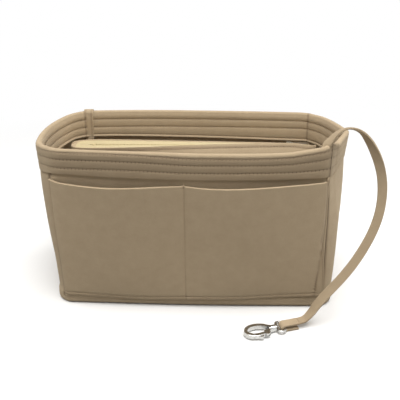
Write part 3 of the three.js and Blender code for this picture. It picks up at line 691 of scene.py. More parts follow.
def band_profile(share, x):
    """Offset, height and groove of the band's middle surface, from its outer hem to its inner hem. The groove
    also sets the painted shade in the stitch rows.
    """
    tub = settings("tub")
    fold_foot = BAG_HEIGHT - FOLD_RADIUS - tub.band / 2
    outer_foot = BAG_HEIGHT - tub.outer_leaf + np.interp(x, OUTER_HEM_X, OUTER_HEM_RISE)
    inner_foot = np.interp(x, INNER_HEM_X, INNER_HEM)
    outer_run = fold_foot - outer_foot
    s, angle, height, inner_part = fold(share, fold_foot, FOLD_RADIUS, outer_run, fold_foot - inner_foot)
    down = unit((fold_foot - height) / outer_run)
    outside = s < outer_run + math.pi * FOLD_RADIUS / 2
    flare = np.where(outside, HEM_FLARE * down * (1 - 0.5 * end_share(x)), -INNER_FLARE * down)
    out = FOLD_MIDDLE + FOLD_RADIUS * np.cos(angle) + flare
    inner_rows = [*INNER_ROWS, inner_foot + LIP]
    unlifted = height - row_lift(x) * ramp(height, outer_foot, 8 * MM)
    groove = np.where(outside, groove_depth(unlifted, OUTER_ROWS), 0.6 * groove_depth(height, inner_rows))
    calm = 1 - np.where(x > 0, 0.8, 0.6) * end_share(x) * outside
    groove = unit(groove) * calm
    top_puff = np.sin(math.pi * unit((fold_foot - height) / (fold_foot - INNER_ROWS[0])))
    inner_puff = puffed(height, inner_rows, inner_foot) + top_puff
    puff = np.where(outside, puffed(unlifted, OUTER_ROWS, outer_foot), -1.3 * inner_puff)
    pull = np.where(outside, -1, 1) * 0.3 * MM * groove
    lip = 0.8 * MM * smooth((inner_foot + LIP - height) / LIP) * inner_part
    return out + tub.puff * puff * calm + pull - lip - END_TUCK * end_share(x), height, groove


def rim_band(name, start, end):
    """One length of the band, its ends tucked down into the seams."""
    tub = settings("tub")
    start, end = inset(start, end, SEAM_GAP / 2)
    length = rim_run(start, end)

    def place(u, v):
        turns, lengths = even_turns(start, end, BAG_HEIGHT, u)
        x = rim_x(turns)
        out, height, groove = band_profile(v, x)
        tuck = tucked(lengths, length, 1.4 * MM)
        out = out + sag(turns, height) - SEAM_TUCK * tuck * np.sign(out - FOLD_MIDDLE)
        # Painted shade: the outer leaf below the fold is darkened evenly, and the stitch grooves and tucked
        # ends more.
        outer_face = (out > FOLD_MIDDLE) * smooth((BAG_HEIGHT - FOLD_RADIUS - height) / (3 * MM))
        painted_shade = EVEN_DARKENING * 0.9 * outer_face * (1 - end_share(x))
        return outline(turns, height, out), lengths, height, unit(groove * 0.88 + tuck * 0.6 + painted_shade)

    bm = grid_mesh(int(length / BAND_CELL), BAND_CELLS_DOWN, place, flip=True)
    felt_sheet(name, bm, "tub", tub.band, 0, 0.4 * MM)


def leaf_offset(turns, height, side):
    """Offset of the band's face at a height. side is 1 outside and -1 inside."""
    tub = settings("tub")
    down = (BAG_HEIGHT - FOLD_RADIUS - tub.band / 2 - height) / (tub.outer_leaf - FOLD_RADIUS - tub.band / 2)
    flare = (HEM_FLARE if side > 0 else INNER_FLARE) * down
    middle = FOLD_MIDDLE + side * (FOLD_RADIUS + flare - THREAD_SINK)
    return middle + side * (tub.band / 2 + THREAD_STAND) - END_TUCK * end_share(rim_x(turns))


BAND_LENGTHS = {
    "front_left_rim_band": (BACK_LEFT_SEAM - WHOLE_TURN, FRONT_RIGHT_SEAM),
    "right_rim_band": (FRONT_RIGHT_SEAM, BACK_RIGHT_SEAM),
    "back_rim_band": (BACK_RIGHT_SEAM, BACK_LEFT_SEAM),
}


def band_stitches():
    """The rows round both leaves, and one short row down beside each seam of the inner leaf."""
    bm = bmesh.new()
    for start, end in BAND_LENGTHS.values():
        turns, _ = even_turns(start, end, BAG_HEIGHT, np.linspace(0, 1, 400))
        for side, rows in ((1, OUTER_ROWS), (-1, INNER_ROWS)):
            for row in rows:
                heights = row + (side > 0) * row_lift(rim_x(turns))
                sew(bm, turns, heights, leaf_offset(turns, row, side), side)
    for seam, gap in SHORT_ROWS:
        heights = np.linspace(*SHORT_ROW_HEIGHTS, 60)
        turns = np.full(60, seam - corner_share(gap))
        sew(bm, turns, heights, leaf_offset(turns, heights, -1) - THREAD_SINK, -1)
    new_piece("band_stitches", bm, "thread", "tub")


JOIN_STRIP_WIDTH = 11 * MM
JOIN_STRIP_TURN = 5.06
STRIP_CLEARANCE = 0.12 * MM
STRIP_STITCH = 1.6 * MM


def join_strip():
    """The strip of felt folded over the band's ends at the back left, hanging a little past the inner hem."""
    tub = settings("tub")
    fine = np.linspace(JOIN_STRIP_TURN - 0.5, JOIN_STRIP_TURN + 0.5, 800)
    round_rim = round_lengths(fine, BAG_HEIGHT)
    centre = np.interp(JOIN_STRIP_TURN, fine, round_rim)
    half = JOIN_STRIP_WIDTH / 2 - 0.5 * MM
    radius = FOLD_RADIUS + tub.band + STRIP_CLEARANCE
    foot = BAG_HEIGHT - FOLD_RADIUS - tub.band / 2
    inner_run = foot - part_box("band_join_strip")[0].z
    outer_run = inner_run - 3 * MM

    def place(u, v):
        s, angle, height, _ = fold(v, foot, radius, outer_run, inner_run)
        down = unit((foot - height) / outer_run)
        flare = np.where(s < outer_run, HEM_FLARE, -INNER_FLARE - tub.puff) * down
        across = (2 * u - 1) * half * (1 - 0.05 * np.cos(angle))
        under = 1.5 * MM * smooth((across - half + 3.4 * MM) / (2 * MM)) * np.cos(angle)
        out = FOLD_MIDDLE + radius * np.cos(angle) + flare + 0.25 * MM * np.sin(height * 190) - under
        turns = np.interp(centre + across, round_rim, fine)
        groove = bell((half - np.abs(across) - STRIP_STITCH) / (0.6 * MM))
        # The stitch lines near both edges get painted shade.
        return on_wall(turns, height, out), height, across, 0.6 * groove

    bm = grid_mesh(16, 70, place, flip=True)
    felt_sheet("band_join_strip", bm, "tub", tub.band, 0, 0.35 * MM)


# Walls, seams and base

FOOT_SEAM = 6.4 * MM
WALL_TOP = 150 * MM
WALL_CELL = 2.5 * MM
WALL_CELLS_UP = 76
HIDDEN_FROM = 137 * MM
FRONT_FOOT = 1.1 * MM
FRONT_CURL = 2.6 * MM
CURL_REACH = 122 * MM
FOOT_ROUNDING = 3.4 * MM
CORNERS = {
    "front_right_seam": (FRONT_RIGHT_SEAM, 2.4 * MM, 2.8 * MM),
    "back_right_seam": (BACK_RIGHT_SEAM, 2.4 * MM, 2.8 * MM),
    "back_left_seam": (BACK_LEFT_SEAM, 2.4 * MM, 2.8 * MM),
    "front_left_seam": (FRONT_LEFT_SEAM, 2.0 * MM, 2.6 * MM),
}


def front_foot(y):
    """The front foot stands out a little under the pocket's hem."""
    return FRONT_FOOT * ramp(-y, 30 * MM, 20 * MM)


def wall_panel(name, start, end):
    """A wall between two seams. Its ends tuck in, and so does what the band hides."""
    tub = settings("tub")
    start, end = inset(start, end, SEAM_GAP / 2)
    length = rim_run(start, end)

    def place(u, v):
        turns, lengths = even_turns(start, end, BAG_HEIGHT, u)
        height = mix(FOOT_SEAM, WALL_TOP, v**1.2)
        x, y, _ = outline(turns, height, 0).T
        tuck = tucked(lengths, length, 1.8 * MM)
        hidden = ramp(height, HIDDEN_FROM, 1.8 * MM)
        foot = front_foot(y) * smooth((14 * MM - height) / (4 * MM))
        out = sag(turns, height) + foot - SEAM_TUCK * tuck - END_TUCK * end_share(x) * hidden
        # The tucked ends are darkened with painted shade along the seams.
        return outline(turns, height, out), lengths, height, 0.7 * tuck

    bm = grid_mesh(int(length / WALL_CELL), WALL_CELLS_UP, place)
    felt_sheet(name, bm, "tub", tub.wall, -1, 0.4 * MM)


def corner_seam(name, seam, depth, width):
    """The two turned-out felt edges of a corner, squeezed to a thin ridge with the seam down its middle,
    darkened with painted shade in the seam's notch.
    """
    hem = BAG_HEIGHT - settings("tub").outer_leaf
    low, high = 6.5 * MM, hem + (1.5 * MM if seam != FRONT_LEFT_SEAM else -4 * MM)

    def place(u, v):
        height = mix(low, high, u)
        angle = math.tau * v
        wander = 0.15 * MM * np.sin(height * 210) + 0.12 * MM * np.sin(height * 91 + 2)
        across = width / 2 * np.cos(angle) * (1 + 0.12 * np.sin(height * 160))
        out = depth / 2 + depth / 2 * np.sin(angle) * (1 + 0.12 * np.sin(height * 120 + 1))
        notch = bell(np.cos(angle) / 0.3) * (np.sin(angle) > 0)
        fade = smooth((high - height) / (3 * MM)) * ramp(height, low, 6 * MM)
        turns = seam_turn(seam, height) + corner_share(across + wander)
        out = (out - 0.35 * MM * notch + 0.2 * MM) * fade - 0.9 * MM
        # The notch along the seam gets painted shade.
        return on_wall(turns, height, out), height, across, 0.5 * notch

    new_piece(name, tube_mesh(110, 20, place), "felt", "tub")


def base():
    """The base felt with its rounded foot, turned up to the walls. Its front curls up a little."""
    girth = round_lengths(np.linspace(0, WHOLE_TURN, 600), 0)[-1]

    def place(u, v):
        turns = WHOLE_TURN * u
        x, y, _ = outline(turns, 0, 0).T
        curl = FRONT_CURL * unit(1 - (x / CURL_REACH) ** 4) * smooth(-y / (40 * MM))
        rounding = FOOT_ROUNDING + curl * 0.9
        bend = unit(v * 1.6) * math.pi / 2
        rise = np.clip(v * 1.6 - 1, 0, 0.6) / 0.6
        height = rounding * (1 - np.cos(bend)) + (FOOT_SEAM - rounding - 0.05 * MM) * rise
        out = -rounding * (1 - np.sin(bend))
        return outline(turns, height, out + front_foot(y) * smooth(bend)), girth * u, height, 0 * u

    bm = grid_mesh(320, 18, place)
    bmesh.ops.remove_doubles(bm, verts=bm.verts, dist=1e-6)
    rim = [e for e in bm.edges if e.is_boundary]
    foot = [e for e in rim if max(v.co.z for v in e.verts) < 0.5 * MM]
    bmesh.ops.holes_fill(bm, edges=foot, sides=0)
    bmesh.ops.recalc_face_normals(bm, faces=bm.faces)
    flat, wall = (BASE_LENGTH, BASE_DEPTH), settings("tub").wall
    felt_sheet("base_panel", bm, "tub", wall, -1, 0)


# Front pocket

POCKET_TOP_TURN = [-0.33, -0.264, -0.09, 0.028, 0.068, 0.146, 0.26, 0.372]
POCKET_TOP_TURN += [0.475, 0.557, 0.638, 0.759, 0.907, 1.04, 1.2]
POCKET_TOP = [134.5, 134.4, 133.9, 132.8, 132.3, 131.1, 131.1, 132.5]
POCKET_TOP = np.array(POCKET_TOP + [133.3, 131.9, 131.0, 132.1, 134.0, 134.6, 134.9]) * MM
POCKET_FOOT_X = np.array([-130, -91, -51, -7, 47, 86, 118]) * MM
POCKET_FOOT = np.array([11.6, 11.3, 9.4, 10.8, 11.5, 14.0, 15.2]) * MM
FOOT_STITCH = np.array([14.8, 14.5, 12.6, 13.9, 14.6, 17.2, 18.2]) * MM
RIGHT_STITCH = (np.array([10, 19, 31, 77, 130]) * MM, [0.984, 0.988, 0.992, 1.016, 1.094])
POCKET_MIDDLE = 0.476
POCKET_STAND_OFF = 5 * MM
POCKET_FELT = 2.2 * MM
POCKET_HEIGHT = 124 * MM
POCKET_PLUMP = 0.8 * MM
LEFT_STITCH = 1.8 * MM
POCKET_INSET = 1.4 * MM
EASING = 3


def eased(value, places, heights):
    """A height read from a table and rounded off between its entries."""
    spread = (places[-1] - places[0]) / 60
    near = [np.interp(value + k * spread, places, heights) for k in range(-EASING, EASING + 1)]
    return sum(near) / len(near)


def pocket_shape(turns, height, start, end):
    """Offset of the pocket felt's inner face, and how deep it lies in a stitch groove."""
    fine = np.linspace(start, end, 1500)
    run = round_lengths(fine, BAG_HEIGHT)
    lengths = np.interp(turns, fine, run)
    middle = np.interp(POCKET_MIDDLE, fine, run)
    right_line = np.interp(np.interp(height, *RIGHT_STITCH), fine, run)
    left_share = (lengths - LEFT_STITCH) / (middle - LEFT_STITCH)
    share = unit(np.where(lengths < middle, left_share, (right_line - lengths) / (right_line - middle)))
    foot_stitch = eased(outline(turns, height, 0)[:, 0], POCKET_FOOT_X, FOOT_STITCH)
    above = unit((height - foot_stitch) / (120 * MM))
    bulge = POCKET_STAND_OFF * np.sin(math.pi * share) ** 0.7 * np.sqrt(above)
    near = np.min([np.abs(lengths - line) for line in (LEFT_STITCH, right_line, middle)], axis=0)
    groove = np.maximum(bell(near / (0.8 * MM)), bell((height - foot_stitch) / (0.8 * MM)))
    hem = unit((foot_stitch - height) / (3.2 * MM))
    ridge = 0.2 * MM * np.sin(math.pi * hem) - 0.9 * MM * smooth(hem - 0.2)
    return bulge + POCKET_PLUMP * (1 - groove) + ridge - 0.3 * MM * groove, groove, lengths


def front_pocket():
    """The patch pocket. Its faces lie closer together along its three upright stitch lines."""
    seams = (FRONT_LEFT_SEAM - WHOLE_TURN, FRONT_RIGHT_SEAM)
    start, end = inset(*seams, POCKET_INSET)
    total = rim_run(start, end, 800)
    fine = np.linspace(0, total, 3000)
    lines = (0, total * (POCKET_MIDDLE - start) / (end - start), total - 2 * MM)
    density = 1 + sum(4 * bell((fine - line) / (6 * MM)) for line in lines)
    spread = np.cumsum(density) / density.sum()

    def place(u, v):
        u = np.interp(u, spread, fine) / total
        turns, _ = even_turns(start, end, BAG_HEIGHT, u)
        foot = eased(outline(turns, 12 * MM, 0)[:, 0], POCKET_FOOT_X, POCKET_FOOT)
        height = mix(foot, eased(turns, POCKET_TOP_TURN, POCKET_TOP), v**1.1)
        left, right = (seam_turn(seam, height) - seam for seam in seams)
        turns = turns + mix(left, right, u)
        out, groove, lengths = pocket_shape(turns, height, start, end)
        # The stitch grooves get painted shade.
        return on_wall(turns, height, CLEARANCE + out), lengths, height, 0.95 * groove

    bm, flat = grid_mesh(320, 130, place), (rim_run(start, end), POCKET_HEIGHT)
    felt_sheet("front_pocket", bm, "tub", POCKET_FELT, 1, 0.8 * MM)


# Key strap

STRAP_ROUTE = [
    (115, -57.5, 164.9), (115.2, -57.5, 166.7), (118.1, -57, 171.4), (123.6, -55.6, 177.4),
    (130, -53, 179.6), (137.4, -50.9, 179.2), (144.9, -50, 175.7), (151.4, -50.6, 168.6),
    (157.2, -52, 159.4), (162.6, -53.4, 148), (166.4, -55.2, 134.8), (167.8, -58, 120), (166.2, -62, 104.6),
    (161.6, -66.4, 89.8), (154.8, -70.8, 75.8), (146.8, -75, 62.8), (138.4, -78.4, 51.4),
    (129.8, -80.8, 40.6), (122, -82.6, 31), (115.9, -83.9, 21.9), (111.2, -84.9, 14), (105.7, -86.2, 7.8),
    (99.7, -87.9, 6.51),
]
STRAP_FACES = [
    (-0.25, -0.95, 0.1), (-0.62, -0.71, 0.35), (-0.73, -0.28, 0.62), (-0.59, 0.11, 0.8),
    (-0.22, 0.28, 0.93), (0.2, 0.26, 0.95), (0.57, 0.3, 0.76), (0.69, 0.58, 0.45), (0.57, 0.8, 0.2),
    (0.36, 0.93, 0.01), (0.17, 0.98, -0.13), (0.06, 0.97, -0.22), (0, 0.92, -0.38), (0, 0.92, -0.38),
    (0.05, 0.9, -0.42), (0.1, 0.86, -0.5), (0.1, 0.8, -0.58), (0.1, 0.7, -0.7), (0.1, 0.55, -0.83),
    (0.08, 0.35, -0.93), (0.04, 0.15, -0.98), (0, 0, -1), (0, 0, -1),
]


def through(points, shares):
    """A smooth curve through points, at shares from 0 to 1. The root of each gap spaces its knots."""
    p = np.array(points, float)
    p = np.vstack([2 * p[0] - p[1], p, 2 * p[-1] - p[-2]])
    made = []
    for share in shares:
        place = share * (len(p) - 3)
        i = min(int(place), len(p) - 4)
        t = place - i
        a, b, c, d = p[i : i + 4]
        g = [max(np.linalg.norm(q - r) ** 0.5, 1e-4) for q, r in ((b, a), (c, b), (d, c))]
        m1 = ((b - a) / g[0] - (c - a) / (g[0] + g[1]) + (c - b) / g[1]) * g[1]
        m2 = ((c - b) / g[1] - (d - b) / (g[1] + g[2]) + (d - c) / g[2]) * g[1]
        made.append(
            (2 * t**3 - 3 * t**2 + 1) * b
            + (t**3 - 2 * t**2 + t) * m1
            + (-2 * t**3 + 3 * t**2) * c
            + (t**3 - t**2) * m2
        )
    return np.array(made)


def strap_frames(count):
    """The strap's middle line with the directions across it and out of its face."""
    shares = np.linspace(0, 1, count)
    middle = through(STRAP_ROUTE, shares) * MM
    looks = through(STRAP_FACES, shares)
    along = np.gradient(middle, axis=0)
    along /= np.linalg.norm(along, axis=1)[:, None]
    across = np.cross(along, looks)
    across /= np.linalg.norm(across, axis=1)[:, None]
    return middle, across, np.cross(across, along)


HOOK_NODES = ["clasp_eye", "clasp_hook", "clasp_gate", "clasp_gate_pin", "clasp_gate_spring"]


def key_strap():
    """The felt strap as a flat tube with round edges, a little hollow along its middle."""
    strap = settings("strap")
    rings = 220
    middle, across, face = strap_frames(rings + 1)
    lengths = lengths_along(middle)

    def place(u, v):
        i = np.rint(u * rings).astype(int)
        angle = math.tau * v
        x, y = (np.sign(c) * np.abs(c) ** 0.32 for c in (np.cos(angle), np.sin(angle)))
        dish = 0.15 * MM * (1 - x**2) * np.sign(y)
        points = middle[i] + across[i] * (x * strap.width / 2)[:, None]
        points = points + face[i] * (y * strap.thickness / 2 - dish)[:, None]
        # The whole strap is made a little darker, evenly.
        return points, lengths[i], x * strap.width / 2, np.full(len(i), EVEN_DARKENING * 0.45)

    piece = new_piece("key_strap_felt", tube_mesh(rings, 28, place), "felt", "tub", ["key_strap"])


# Inner pouch

FRONT_LOW, FRONT_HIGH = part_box("pouch_front")
BACK_LOW, BACK_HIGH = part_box("pouch_back")
POUCH_LENGTH = FRONT_HIGH.x - FRONT_LOW.x
POUCH_FOOT, POUCH_TOP = BACK_LOW.z, BACK_HIGH.z
POUCH_CENTRE = (FRONT_LOW.y + BACK_HIGH.y) / 2
POUCH_TOP_DEPTH = 25 * MM
POUCH_BELLY_DEPTH = 34 * MM
POUCH_FOOT_DEPTH = 8 * MM
POUCH_END_POWER = 14
POUCH_LEFT_STRETCH = 4.5 * MM
FRONT_EDGE_X = np.array([-126, -100, 0, 80, 102, 114, 125]) * MM
FRONT_EDGE = np.array([136.3, 136.8, 139.3, 141.6, 142, 140.8, 136.8]) * MM
BACK_EDGE_X = np.array([-126, -100, 100, 126]) * MM
BACK_EDGE = np.array([138.2, 138.6, 135.6, 134.8]) * MM
POUCH_HEM = 3 * MM
POUCH_LEAN = 6 * MM
POUCH_DENT = 0.5 * MM
TAPE_THICKNESS = 0.8 * MM
TAPE_DROP = 0.9 * MM
TAPE_INSIDE = 1.6 * MM
WEB_INSIDE = 1.2 * MM
WEB_FELT = 1.4 * MM
POUCH_END_WEB = 0.04
ZIP_HEIGHT = (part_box("zip_teeth_front")[0].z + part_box("zip_teeth_front")[1].z) / 2


def pouch_half_depth(height):
    share = (height - POUCH_FOOT) / (POUCH_TOP - POUCH_FOOT)
    belly = (POUCH_BELLY_DEPTH - mix(POUCH_FOOT_DEPTH, POUCH_TOP_DEPTH, 0.5)) / 2
    full = np.sin(math.pi * np.clip(share, 0, 1.05))
    return mix(POUCH_FOOT_DEPTH, POUCH_TOP_DEPTH, share) / 2 + belly * full


def pouch_x(share):
    """The soft pouch reaches a little further to the left than to the right."""
    return POUCH_LENGTH / 2 * share - POUCH_LEFT_STRETCH * smooth((-share - 0.5) / 0.5)


def pouch_face(share, height, way):
    """The pouch's outer face. share is -1 at its left end and 1 at its right, way -1 in front, 1 behind."""
    x = pouch_x(share)
    near_edge = unit(1 - (pouch_edge(share, way) - height) / (13 * MM))
    lean = POUCH_LEAN * ramp(x, -90 * MM, 120 * MM) * near_edge**1.5 * (way < 0)
    taper = np.sqrt(unit(1 - np.abs(share) ** POUCH_END_POWER))
    low_half = np.sin(math.pi * unit((height - POUCH_FOOT) / (90 * MM)))
    dent = POUCH_DENT * np.sin(61 * x + 40 * height) * low_half
    y = POUCH_CENTRE + way * ((pouch_half_depth(height) + dent - lean) * taper + 0.15 * MM)
    return np.stack([x, y, np.broadcast_to(height, x.shape)], -1)


def pouch_edge(share, way):
    x = pouch_x(share)
    return eased(x, BACK_EDGE_X, BACK_EDGE) if way > 0 else eased(x, FRONT_EDGE_X, FRONT_EDGE)


def pouch_share(u):
    """Shares along the pouch, closer together towards its round ends."""
    return np.sin((2 * u - 1) * math.pi / 2) * 0.9995


def pouch_side(name, way):
    """One side of the pouch, with a row sewn along its upper edge."""

    def place(u, v):
        share = pouch_share(u)
        edge = pouch_edge(share, way)
        height = mix(POUCH_FOOT, edge, 1 - (1 - v) ** 1.3)
        groove = bell((height - edge + POUCH_HEM) / (0.8 * MM))
        points = pouch_face(share, height, way)
        points[:, 1] -= way * 0.35 * MM * groove
        # The stitch groove below the edge gets painted shade.
        return points, points[:, 0], height, 0.7 * groove

    bm = grid_mesh(160, 70, place, flip=way > 0)
    flat, felt = (POUCH_LENGTH, POUCH_TOP - POUCH_FOOT), settings("pouch").felt
    felt_sheet(name, bm, "pouch", felt, -1, 0.45 * MM)


def zip_tape(name, way):
    """One side of the zip's tape, from under the pouch's edge to the teeth."""
    teeth_low, teeth_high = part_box(name.replace("tape", "teeth"))
    near = teeth_low.y + 0.5 * MM if way > 0 else teeth_high.y - 0.5 * MM
    closed = (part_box("zip_teeth_front")[1].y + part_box("zip_teeth_back")[0].y) / 2 + way * 0.1 * MM

    def place(u, v):
        share = pouch_share(u) * (1 - POUCH_END_WEB)
        x = pouch_x(share)
        edge = pouch_edge(share, way) - TAPE_DROP
        wall = pouch_face(share, edge, way)[:, 1] - way * TAPE_INSIDE
        inner = mix(near, closed, smooth((teeth_low.x - 4 * MM - x) / (5 * MM)))
        far = np.where(way * (wall - inner) > 0, wall, inner)
        wave = 0.15 * MM * np.sin(83 * x) * np.sin(math.pi * v)
        return np.stack([x, mix(inner, far, v), mix(ZIP_HEIGHT, edge, v**1.4) + wave], -1)

    bm = grid_mesh(200, 10, place, flip=way < 0)
    piece = new_piece(name + "_cloth", bm, "tape", "pouch", [name])
    thicken(piece, TAPE_THICKNESS, 0, 0)


def pouch_end(name, end):
    """The felt web that closes the pouch past one end of its zip."""

    def place(u, v):
        share = end * mix(1 - POUCH_END_WEB * 1.3, 0.998, u)
        front, back = pouch_edge(share, -1), pouch_edge(share, 1)
        low = pouch_face(share, front, -1)[:, 1] + WEB_INSIDE
        high = np.maximum(pouch_face(share, back, 1)[:, 1] - WEB_INSIDE, low)
        height = mix(front, back, v) - TAPE_DROP - 0.8 * MM * np.sin(math.pi * v) * (1 - u)
        return np.stack([pouch_x(share), mix(low, high, v), height], -1)

    piece = new_piece(name, grid_mesh(14, 20, place, flip=end < 0), "felt", "pouch")
    thicken(piece, WEB_FELT, 0, 0.3 * MM)


def pouch_stitches():
    bm = bmesh.new()
    for way in (-1, 1):
        share = np.linspace(-0.985, 0.985, 500)
        points = pouch_face(share, pouch_edge(share, way) - POUCH_HEM, way)
        points[:, 1] -= way * 0.1 * MM
        stitch_row(bm, points, np.tile([0, way, 0.15], (len(share), 1)))
    new_piece("pouch_stitches", bm, "thread", "pouch")


def zip_teeth(name, way):
    """One side of the nylon coil: a round tooth for every turn, on a cord along its outer edge."""
    low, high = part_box(name)
    centre, size = (low + high) / 2, high - low
    pitch = settings("pouch").coil_pitch
    count = int(size.x / pitch)
    tooth = Matrix.Diagonal((0.36 * pitch, size.y / 2 + 0.3 * MM, size.z / 2, 1))
    bm = bmesh.new()
    for i in range(count):
        x = low.x + (i + 0.5 + 0.25 * way) * size.x / count
        turned = Matrix.Translation((x, centre.y - way * 0.2 * MM, centre.z)) @ tooth
        bmesh.ops.create_uvsphere(bm, u_segments=8, v_segments=6, radius=1, matrix=turned)
    core = Matrix.Translation((centre.x, centre.y + way * 0.35 * MM, centre.z))
    radius = size.z * 0.36
    bmesh.ops.create_cone(
        bm,
        cap_ends=True,
        segments=10,
        radius1=radius,
        radius2=radius,
        depth=size.x,
        matrix=core @ Matrix.Rotation(math.pi / 2, 4, "Y"),
    )
    new_piece(name + "_coil", bm, "nylon", "pouch", [name])


# Operators


class OrganiserOperator:
    bl_options = {"REGISTER", "UNDO"}


class ORGANISER_OT_stage(OrganiserOperator, bpy.types.Operator):
    """Adds the floor, the soft lamps, the pale surroundings and the camera"""

    bl_idname = "organiser.stage"
    bl_label = "Stage"

    def execute(self, context):
        make_camera(context)
        make_world(context)
        make_floor(context)
        make_lamps()
        return {"FINISHED"}


class ORGANISER_OT_strap(OrganiserOperator, bpy.types.Operator):
    """Makes the felt key strap"""

    bl_idname = "organiser.key_strap"
    bl_label = "Key strap"

    def execute(self, context):
        key_strap()
        return {"FINISHED"}


class ORGANISER_OT_walls(OrganiserOperator, bpy.types.Operator):
    """Makes the tub's walls, its corner seams and its base"""

    bl_idname = "organiser.walls"
    bl_label = "Walls and base"

    def execute(self, context):
        wall_panel("front_panel", FRONT_LEFT_SEAM - WHOLE_TURN, FRONT_RIGHT_SEAM)
        wall_panel("right_side_panel", FRONT_RIGHT_SEAM, BACK_RIGHT_SEAM)
        wall_panel("back_panel", BACK_RIGHT_SEAM, BACK_LEFT_SEAM)
        wall_panel("left_side_panel", BACK_LEFT_SEAM, FRONT_LEFT_SEAM)
        for name, (seam, depth, width) in CORNERS.items():
            corner_seam(name, seam, depth, width)
        base()
        dressed_copy("base_board_wrapped", "base_board", "board", "tub", 0.5 * MM)
        return {"FINISHED"}


class ORGANISER_OT_band(OrganiserOperator, bpy.types.Operator):
    """Makes the folded rim band with its stitch rows"""

    bl_idname = "organiser.rim_band"
    bl_label = "Rim band"

    def execute(self, context):
        for name, (start, end) in BAND_LENGTHS.items():
            rim_band(name, start, end)
        band_stitches()
        join_strip()
        return {"FINISHED"}


class ORGANISER_OT_pocket(OrganiserOperator, bpy.types.Operator):
    """Makes the front patch pocket"""

    bl_idname = "organiser.pocket"
    bl_label = "Front pocket"

    def execute(self, context):
        front_pocket()
        return {"FINISHED"}


class ORGANISER_OT_pouch(OrganiserOperator, bpy.types.Operator):
    """Makes the inner pouch and its zip"""

    bl_idname = "organiser.pouch"
    bl_label = "Zipped pouch"

    def execute(self, context):
        pouch_side("pouch_front", -1)
        pouch_side("pouch_back", 1)
        pouch_stitches()
        zip_tape("zip_tape_front", -1)
        zip_tape("zip_tape_back", 1)
        pouch_end("pouch_left_end_felt", -1)
        pouch_end("pouch_right_end_felt", 1)
        zip_teeth("zip_teeth_front", -1)
        zip_teeth("zip_teeth_back", 1)
        for node, body in (("zip_slider", "slider"), ("zip_pull", "pull_tab")):
            dressed_copy(node + "_metal", node, "plate", body, 0.18 * MM)
        for node in ("zip_top_stop_front", "zip_top_stop_back", "zip_bottom_stop"):
            dressed_copy(node + "_moulded", node, "nylon", "pouch", 0.3 * MM)
        return {"FINISHED"}


class ORGANISER_OT_hook(OrganiserOperator, bpy.types.Operator):
    """Makes the snap hook and the strap's end loop"""

    bl_idname = "organiser.snap_hook"
    bl_label = "Snap hook"

    def execute(self, context):
        for node in HOOK_NODES:
            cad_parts[node].data.materials.clear()
            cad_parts[node].data.materials.append(finish("plate"))
        dressed_copy("strap_end_loop_felt", "strap_end_loop", "felt", "tub", 0.4 * MM)
        return {"FINISHED"}


# Stage

CAMERA_PLACE = (21.641 * MM, -427.639 * MM, 287.070 * MM)
CAMERA_TURN = 2.057
CAMERA_DIP = 24.912
CAMERA_ROLL = -0.258
FLOOR_REACH = 4
FADE_START = 0.35
FADE_END = 0.8


def make_camera(context):
    camera = add_object("camera", bpy.data.cameras.new("camera"))
    camera.data.sensor_width = 36
    camera.data.lens = settings("stage").lens / MM
    camera.data.clip_start = 10 * MM
    turned = Matrix.Rotation(math.radians(CAMERA_TURN), 4, "Z")
    dipped = Matrix.Rotation(math.radians(90 - CAMERA_DIP), 4, "X")
    rolled = Matrix.Rotation(math.radians(CAMERA_ROLL), 4, "Z")
    camera.matrix_world = Matrix.Translation(CAMERA_PLACE) @ turned @ dipped @ rolled
    context.scene.camera = camera


def seen_directly(tree):
    """1 for what the camera or a reflection sees, and 0 for what lights a surface."""
    seen, mirrored = (add_node(tree, "LightPath", output=ray) for ray in ("Is Camera Ray", "Is Glossy Ray"))
    return add_node(tree, "Math", {0: seen, 1: mirrored}, operation="MAXIMUM")


def make_world(context):
    """Pale even surroundings, which the camera and reflections see as white."""
    world = bpy.data.worlds.new("studio")
    context.scene.world = world
    world.use_nodes = True
    tree = world.node_tree
    sky = tree.nodes["Background"]
    sky.inputs["Color"].default_value = linear("#FFFDFA")
    sky.inputs["Strength"].default_value = 0.15
    white = add_node(tree, "Background", {"Color": linear("#FFFFFF"), "Strength": 1.0})
    either = add_node(tree, "MixShader", {0: seen_directly(tree), 1: sky.outputs[0], 2: white})
    tree.links.new(either, tree.nodes["World Output"].inputs["Surface"])


def make_floor(context):
    """A pale floor that fades into white away from the object. It throws back less light than it shows."""
    stage = settings("stage")
    bm = bmesh.new()
    bmesh.ops.create_grid(bm, x_segments=1, y_segments=1, size=FLOOR_REACH)
    mesh = bpy.data.meshes.new("floor")
    bm.to_mesh(mesh)
    bm.free()
    material, tree, place = new_material("pale_floor", Roughness=0.9, Specular_IOR_Level=0.1)
    seen = seen_directly(tree)
    cover(tree, seen, linear(stage.floor_bounce), linear(stage.floor))
    distance = add_node(tree, "VectorMath", {0: place}, "Value", operation="LENGTH")
    fade = {"Value": distance, "From Min": FADE_START, "From Max": FADE_END}
    far = add_node(tree, "MapRange", fade, interpolation_type="SMOOTHSTEP")
    strength = add_node(tree, "MapRange", {"Value": seen, "To Min": stage.far_glow})
    glow = add_node(tree, "Emission", {"Color": linear("#FFFFFF"), "Strength": strength})
    shader = tree.nodes["Principled BSDF"].outputs[0]
    either = add_node(tree, "MixShader", {0: far, 1: shader, 2: glow})
    tree.links.new(either, tree.nodes["Material Output"].inputs["Surface"])
    mesh.materials.append(material)
    add_object("floor", mesh)


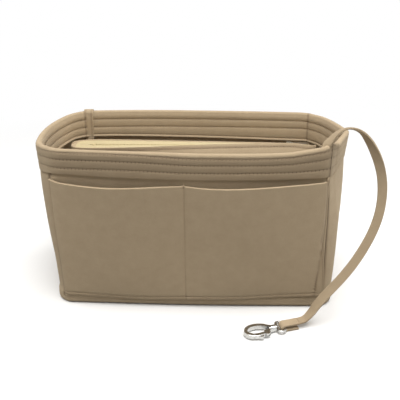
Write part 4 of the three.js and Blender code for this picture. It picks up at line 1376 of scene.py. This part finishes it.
def make_lamps():
    """Round lamps: their place, width, power and the height on the middle line that they aim at."""
    for name, place, size, power, aim in (
        ("top_lamp", (0.1, -0.4, 1.6), 1.3, 34, 0.05),
        ("right_lamp", (1.3, 0.35, 0.7), 0.8, 6.6, 0.08),
        ("left_lamp", (-1.3, 0.1, 0.8), 0.8, 4.6, 0.08),
        ("front_lamp", (0.2, -1.6, 0.5), 1.2, 2.2, 0.08),
    ):
        lamp = bpy.data.lights.new(name, "AREA")
        lamp.shape = "DISK"
        lamp.size = size
        lamp.energy = power
        aimed = (Vector((0, 0, aim)) - Vector(place)).to_track_quat("-Z", "Y").to_matrix().to_4x4()
        add_object(name, lamp).matrix_world = Matrix.Translation(place) @ aimed


class ORGANISER_PT_panel(bpy.types.Panel):
    """Lists the organiser's pieces"""

    bl_idname = "ORGANISER_PT_panel"
    bl_label = "Organiser"
    bl_space_type = "VIEW_3D"
    bl_region_type = "UI"
    bl_category = "Organiser"

    def draw(self, context):
        for operator in OPERATORS:
            self.layout.operator(operator.bl_idname)
        for name in SETTINGS:
            box = self.layout.box()
            group = getattr(context.scene, name)
            for key in group.__annotations__:
                box.prop(group, key)


OPERATORS = (
    ORGANISER_OT_stage,
    ORGANISER_OT_strap,
    ORGANISER_OT_walls,
    ORGANISER_OT_band,
    ORGANISER_OT_pocket,
    ORGANISER_OT_pouch,
    ORGANISER_OT_hook,
)
SETTINGS = {
    "tub_settings": TubSettings,
    "stitch_settings": StitchSettings,
    "felt_settings": FeltSettings,
    "pouch_settings": PouchSettings,
    "strap_settings": StrapSettings,
    "stage_settings": StageSettings,
}


def register():
    for name, group in SETTINGS.items():
        bpy.utils.register_class(group)
        setattr(bpy.types.Scene, name, bpy.props.PointerProperty(type=group))
    for operator in OPERATORS:
        bpy.utils.register_class(operator)
    bpy.utils.register_class(ORGANISER_PT_panel)


def unregister():
    bpy.utils.unregister_class(ORGANISER_PT_panel)
    for operator in reversed(OPERATORS):
        bpy.utils.unregister_class(operator)
    for name, group in SETTINGS.items():
        delattr(bpy.types.Scene, name)
        bpy.utils.unregister_class(group)


def main():
    register()
    bpy.context.scene.view_settings.view_transform = "Standard"
    bpy.ops.organiser.stage()
    bpy.ops.organiser.key_strap()
    bpy.ops.organiser.walls()
    bpy.ops.organiser.rim_band()
    bpy.ops.organiser.pocket()
    bpy.ops.organiser.pouch()
    bpy.ops.organiser.snap_hook()


if __name__ == "__main__":
    main()
